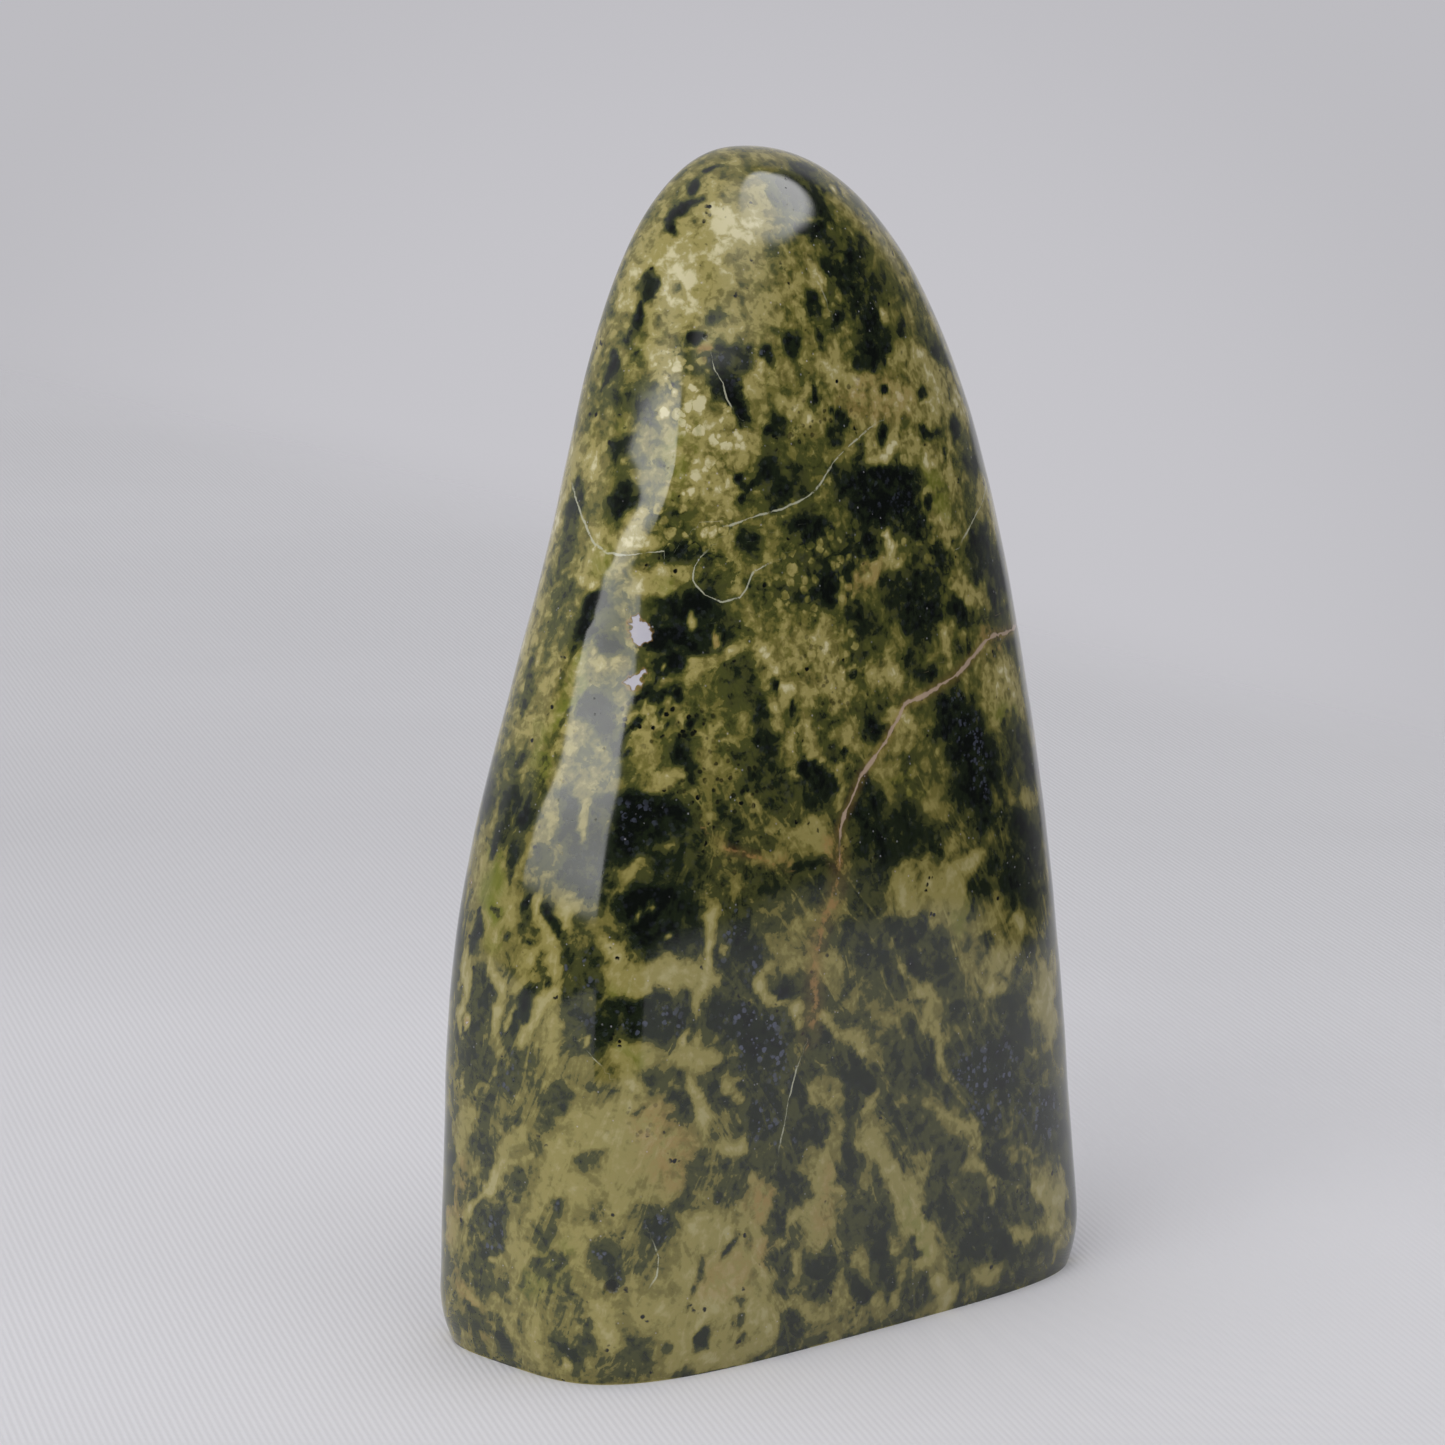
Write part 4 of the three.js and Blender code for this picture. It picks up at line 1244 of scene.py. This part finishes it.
def check_form(points):
    """Stops the work when the box of the fine stone is off that of the solid in the frame by more than the
    tolerance.
    """
    low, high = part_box(CAD_NODE)
    gap = max(
        np.abs(points.min(axis=0) * MM - np.array(low)).max(),
        np.abs(points.max(axis=0) * MM - np.array(high)).max(),
    ) / MM
    if gap > FORM_TOLERANCE:
        raise RuntimeError(f"the stone's box is {gap:.2f} mm off the solid in the frame")


def make_mesh(name, points, faces):
    """Mesh of four-sided faces."""
    mesh = bpy.data.meshes.new(name)
    mesh.vertices.add(len(points))
    mesh.vertices.foreach_set("co", (points * MM).astype(np.float32).ravel())
    mesh.loops.add(faces.size)
    mesh.loops.foreach_set("vertex_index", faces.ravel().astype(np.int32))
    mesh.polygons.add(len(faces))
    mesh.polygons.foreach_set("loop_start", np.arange(0, faces.size, 4, dtype=np.int32))
    mesh.update(calc_edges=True)
    mesh.validate()
    return mesh


def normals_of(points, faces):
    """Smooth normals of a mesh of four-sided faces."""
    first = points[faces[:, 2]] - points[faces[:, 0]]
    second = points[faces[:, 3]] - points[faces[:, 1]]
    faced = np.cross(first, second)
    normals = np.zeros_like(points)
    for corner in range(4):
        np.add.at(normals, faces[:, corner], faced)
    return normals / np.maximum(np.linalg.norm(normals, axis=1, keepdims=True), 1e-12)


def shape_stone(settings):
    """Fine mesh of the stone with its markings stored on it, its faces and which of them are sawn."""
    random = np.random.default_rng(SEED)
    corners, faces = box_grid()
    points = stone_points(corners)
    shift = centring(points)
    points += shift
    check_form(points)
    normals = normals_of(points, faces)
    chart = Chart(shift)
    x, z = points[:, 0], points[:, 2]

    drawn = points + wander(points, *SLOW_SWAY, random) + wander(points, *QUICK_SWAY, random)
    paleness = paint_markings(drawn, chart)
    averted = smooth(*AVERTED, normals @ np.array(MARKED_SIDE))
    for share in (averted, (z < FOOT_LEVEL).astype(float)):
        paleness = paint_hidden_side(paleness, drawn, normals, share, random)

    swell = wander(points, SURFACE_WAVELENGTH, settings.waviness / MM, random)[:, 0] * smooth(0, 5, z)
    swell = (swell + height_of_edges(points, normals, chart)) * (z > FOOT_LEVEL)
    mesh = make_mesh("marbled_stone", points + normals * swell[:, None], faces)

    values = {
        "paleness": paleness,
        "streakiness": LEAST_STREAKS + (1 - LEAST_STREAKS) * smooth(*STREAKS_GROW, z),
        "sharpness": BLURRED + (CRISP - BLURRED) * smooth(*CRISPNESS_GROWS, x),
        "dullness": smooth(*DULLER_UPWARDS, z) * smooth(*DULLER_LEFTWARDS, x),
        "lumpiness": paint_layer(drawn, chart, LUMPY_ROCK),
        "green_glow": paint_layer(drawn, chart, GREEN_GLOW),
        "rust": paint_layer(drawn, chart, RUST_STAINS),
        "blue_speckle": paint_layer(drawn, chart, BLUE_SPECKLE),
        "black_specks": paint_layer(drawn, chart, BLACK_SPECKS),
        "chip_depth": depth_of_chips(points, chart, CHIPS_AND_GLINTS),
        "pit_depth": depth_of_chips(points, chart, PITS),
    }
    for name, veins in (("hairline", HAIRLINES), ("tan_vein", TAN_VEINS), ("rusty_seam", RUSTY_SEAMS)):
        values[name + "_offset"], values[name + "_presence"] = trace_veins(points, normals, chart, veins)
    for name, numbers in values.items():
        mesh.attributes.new(name, "FLOAT", "POINT").data.foreach_set("value", numbers.astype(np.float32))
    return mesh, faces, np.all(z[faces] < FOOT_LEVEL, axis=1)


class FormStone(bpy.types.Operator):
    """Shapes the polished stone, paints its marbling and gives it its two finishes"""
    bl_idname = "serpentine.form_stone"
    bl_label = "Form polished stone"

    def execute(self, context):
        settings = context.scene.stone_settings
        mesh, faces, sawn = shape_stone(settings)
        groups = {
            "marbling": make_marbling_group(),
            "vein": make_vein_group(),
            "polish": make_polish_group(),
        }
        mesh.materials.append(make_polished_material(settings, groups))
        mesh.materials.append(make_sawn_material(settings, groups))
        mesh.polygons.foreach_set("material_index", sawn.astype(np.int32))
        mesh.polygons.foreach_set("use_smooth", np.ones(len(faces), dtype=bool))
        mesh.set_sharp_from_angle(angle=SHARP_ANGLE)
        stone = bpy.data.objects.new("marbled_stone", mesh)
        context.scene.collection.objects.link(stone)
        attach(stone, "root")
        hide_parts(CAD_NODE)
        return {"FINISHED"}


def direction(azimuth, elevation):
    """Unit vector towards an azimuth, counted from the front, and an elevation."""
    return Vector((
        math.sin(azimuth) * math.cos(elevation),
        -math.cos(azimuth) * math.cos(elevation),
        math.sin(elevation),
    ))


def hang_panel(context, name, azimuth, elevation, size, radiance):
    """Soft light with square corners that faces the stone. Its brightness is given as radiance."""
    data = bpy.data.lights.new(name, "AREA")
    data.shape = "RECTANGLE"
    data.size, data.size_y = size
    data.energy = radiance * math.pi * size[0] * size[1]
    data.use_nodes = True
    panel = bpy.data.objects.new(name, data)
    outward = direction(azimuth, elevation)
    panel.location = STAGE_MIDDLE + outward * PANEL_DISTANCE
    panel.rotation_euler = outward.to_track_quat("Z", "Y").to_euler()
    context.scene.collection.objects.link(panel)
    return panel


def light_place(data):
    """Place on a panel, counted from its middle as a share of its distance from the stone."""
    tree = data.node_tree
    place = put(tree, "ShaderNodeNewGeometry", output="Parametric")
    parts = add_node(tree, "ShaderNodeSeparateXYZ", {0: place}).outputs
    return [
        (Value(tree, part) - 0.5) * (length / PANEL_DISTANCE)
        for part, length in zip(parts, (data.size, data.size_y))
    ]


def mask_softbox(data):
    """Cuts the softbox off square at its right, slants its left edge and fades out its top."""
    across, upward = light_place(data)
    left_limit = ramp(upward, -0.27, -0.05, -0.95, -0.33)
    right_limit = ease(upward, -0.11, -0.07, 0.63, 0.53)
    blur = ramp(upward, -0.05, 0.25, 0.05, 0.5)
    strength = ease(across - left_limit, 0.0, blur) * ease(right_limit - across, 0.0, blur)
    strength = strength * ease(upward, -0.315, -0.288) * ease(upward, -0.33, -0.08, 0.38, 1.0)
    strength = strength * ramp(upward, -0.08, 0.3, 1.0, 0.25)
    feed(data.node_tree.nodes["Emission"].inputs["Strength"], strength)


def mask_overhead(data):
    """Leaves a round bright core in the overhead panel with a dim glow at its left."""
    across, upward = light_place(data)
    core = round_spot(across, upward, (0.17, 0.05), (0.46, 0.31), 1.12, 0.85)
    core = core * ease(across, -0.45, 0.45, 0.22, 1.0)
    glow = round_spot(across, upward, (-0.35, 0.15), (0.7, 0.7), 1.0, 0.0)
    feed(data.node_tree.nodes["Emission"].inputs["Strength"], glow * 0.34 + core)


def round_spot(across, upward, middle, reach, outside, inside):
    """Soft oval on a panel, 1 in its middle and 0 outside it."""
    first = (across - middle[0]) / reach[0]
    second = (upward - middle[1]) / reach[1]
    return ease(calc("SQRT", first * first + second * second), outside, inside)


def hang_card(context, settings):
    """Black card in front of the camera, seen only in the polish of the stone."""
    outward = direction(settings.camera_azimuth + CARD_TURN, 0)
    side = Vector((-outward.y, outward.x, 0)) * CARD_HALF_WIDTH
    rise = Vector((0, 0, CARD_HALF_HEIGHT))
    centre = STAGE_MIDDLE + outward * CARD_DISTANCE
    material, _, shader = new_material("black card")
    feed(shader["Base Color"], (0.01, 0.01, 0.01))
    feed(shader["Roughness"], 0.9)
    card = flat_piece(context, "black_card", material, [
        centre - side - rise, centre + side - rise, centre + side + rise, centre - side + rise])
    card.visible_camera = False
    card.visible_shadow = False
    card.visible_diffuse = False


def flat_piece(context, name, material, corners):
    """Piece of the stage with one face."""
    mesh = bpy.data.meshes.new(name)
    mesh.from_pydata(corners, [], [(0, 1, 2, 3)])
    mesh.materials.append(material)
    piece = bpy.data.objects.new(name, mesh)
    context.scene.collection.objects.link(piece)
    return piece


def lay_floor(context, settings):
    """Floor that fades out into the pale ground of the room, narrow at the camera's left."""
    away = -direction(settings.camera_azimuth, 0)
    side = Vector((away.y, -away.x, 0))
    behind = away * settings.floor_behind
    ahead = away * -settings.floor_ahead
    left = side * -settings.floor_left
    right = side * settings.floor_right
    flat_piece(context, "studio_floor", make_cloth_material(settings), [
        ahead + left, ahead + right, behind + right, behind + left])


def light_room(context, settings):
    """Dark room with a pale wall behind and to the left, and a pale ground seen past the floor."""
    world = bpy.data.worlds.new("studio room")
    world.use_nodes = True
    tree = world.node_tree
    towards = put(tree, "ShaderNodeTexCoord", output="Generated")
    upward = put(tree, "ShaderNodeSeparateXYZ", {0: towards}, "Z")
    level = vector_calc("NORMALIZE", vector_calc("MULTIPLY", towards, {1: (1, 1, 0)}))
    facing = dot(level, direction(settings.camera_azimuth + WALL_TURN, 0))
    high_wall = ease(facing, 0.22, 0.42) * ease(upward, 0.13, 0.25)
    wall = high_wall * 0.7 + (ease(facing, 0.53, 0.64) * 0.7 + ease(facing, -0.1, 0.5, 0.0, 0.3))
    mirrored = blend(wall, settings.room_color, settings.wall_color)
    mirrored = blend(ease(upward, 0.8, 0.97), mirrored, settings.fill_color)
    ahead = dot(towards, -direction(settings.camera_azimuth, settings.camera_elevation))
    seen = blend(ease(ahead, 0.988, 0.999, 0.9, 1.0), (0, 0, 0), settings.wall_color)
    rays = add_node(tree, "ShaderNodeLightPath").outputs
    color = blend(Value(tree, rays["Is Glossy Ray"]), settings.fill_color, mirrored)
    color = blend(Value(tree, rays["Is Camera Ray"]), color, seen)
    feed(tree.nodes["Background"].inputs["Color"], color)
    context.scene.world = world


def place_camera(context, settings):
    """Camera at the left of the front, slightly above level."""
    right = Vector((math.cos(settings.camera_azimuth), math.sin(settings.camera_azimuth), 0))
    outward = direction(settings.camera_azimuth, settings.camera_elevation)
    target = CAMERA_TARGET - right * CAMERA_LEFT + outward.cross(right) * CAMERA_UP
    data = bpy.data.cameras.new("camera")
    data.angle = settings.camera_angle
    camera = bpy.data.objects.new("camera", data)
    camera.location = target + outward * settings.camera_distance
    camera.rotation_euler = outward.to_track_quat("Z", "Y").to_euler()
    context.scene.collection.objects.link(camera)
    context.scene.camera = camera


class SetStage(bpy.types.Operator):
    """Lays the pale floor, hangs the soft lights and places the camera"""
    bl_idname = "serpentine.set_stage"
    bl_label = "Set studio stage"

    def execute(self, context):
        settings = context.scene.stage_settings
        turn = settings.camera_azimuth
        lay_floor(context, settings)
        light_room(context, settings)
        hang_card(context, settings)
        softbox = hang_panel(context, "left softbox", turn + SOFTBOX_TURN, SOFTBOX_ELEVATION,
                             SOFTBOX_SIZE, settings.softbox_radiance)
        mask_softbox(softbox.data)
        overhead = hang_panel(context, "overhead panel", turn + OVERHEAD_TURN, OVERHEAD_ELEVATION,
                              OVERHEAD_SIZE, settings.overhead_radiance)
        mask_overhead(overhead.data)
        overhead.visible_diffuse = False
        place_camera(context, settings)
        context.scene.view_settings.view_transform = "Standard"
        return {"FINISHED"}


class StonePanel(bpy.types.Panel):
    """Sidebar panel that lists what can be made"""
    bl_idname = "VIEW3D_PT_polished_serpentine"
    bl_label = "Polished Serpentine"
    bl_space_type = "VIEW_3D"
    bl_region_type = "UI"
    bl_category = "Stone"

    def draw(self, context):
        layout = self.layout
        scene = context.scene
        for settings in (scene.stone_settings, scene.stage_settings):
            box = layout.box()
            for name in settings.__annotations__:
                box.prop(settings, name)
        layout.operator(FormStone.bl_idname)
        layout.operator(SetStage.bl_idname)


CLASSES = (StoneSettings, StageSettings, FormStone, SetStage, StonePanel)


def register():
    for item in CLASSES:
        bpy.utils.register_class(item)
    bpy.types.Scene.stone_settings = bpy.props.PointerProperty(type=StoneSettings)
    bpy.types.Scene.stage_settings = bpy.props.PointerProperty(type=StageSettings)


def unregister():
    del bpy.types.Scene.stage_settings
    del bpy.types.Scene.stone_settings
    for item in reversed(CLASSES):
        bpy.utils.unregister_class(item)


def main():
    register()
    bpy.ops.serpentine.form_stone()
    bpy.ops.serpentine.set_stage()


if __name__ == "__main__":
    main()
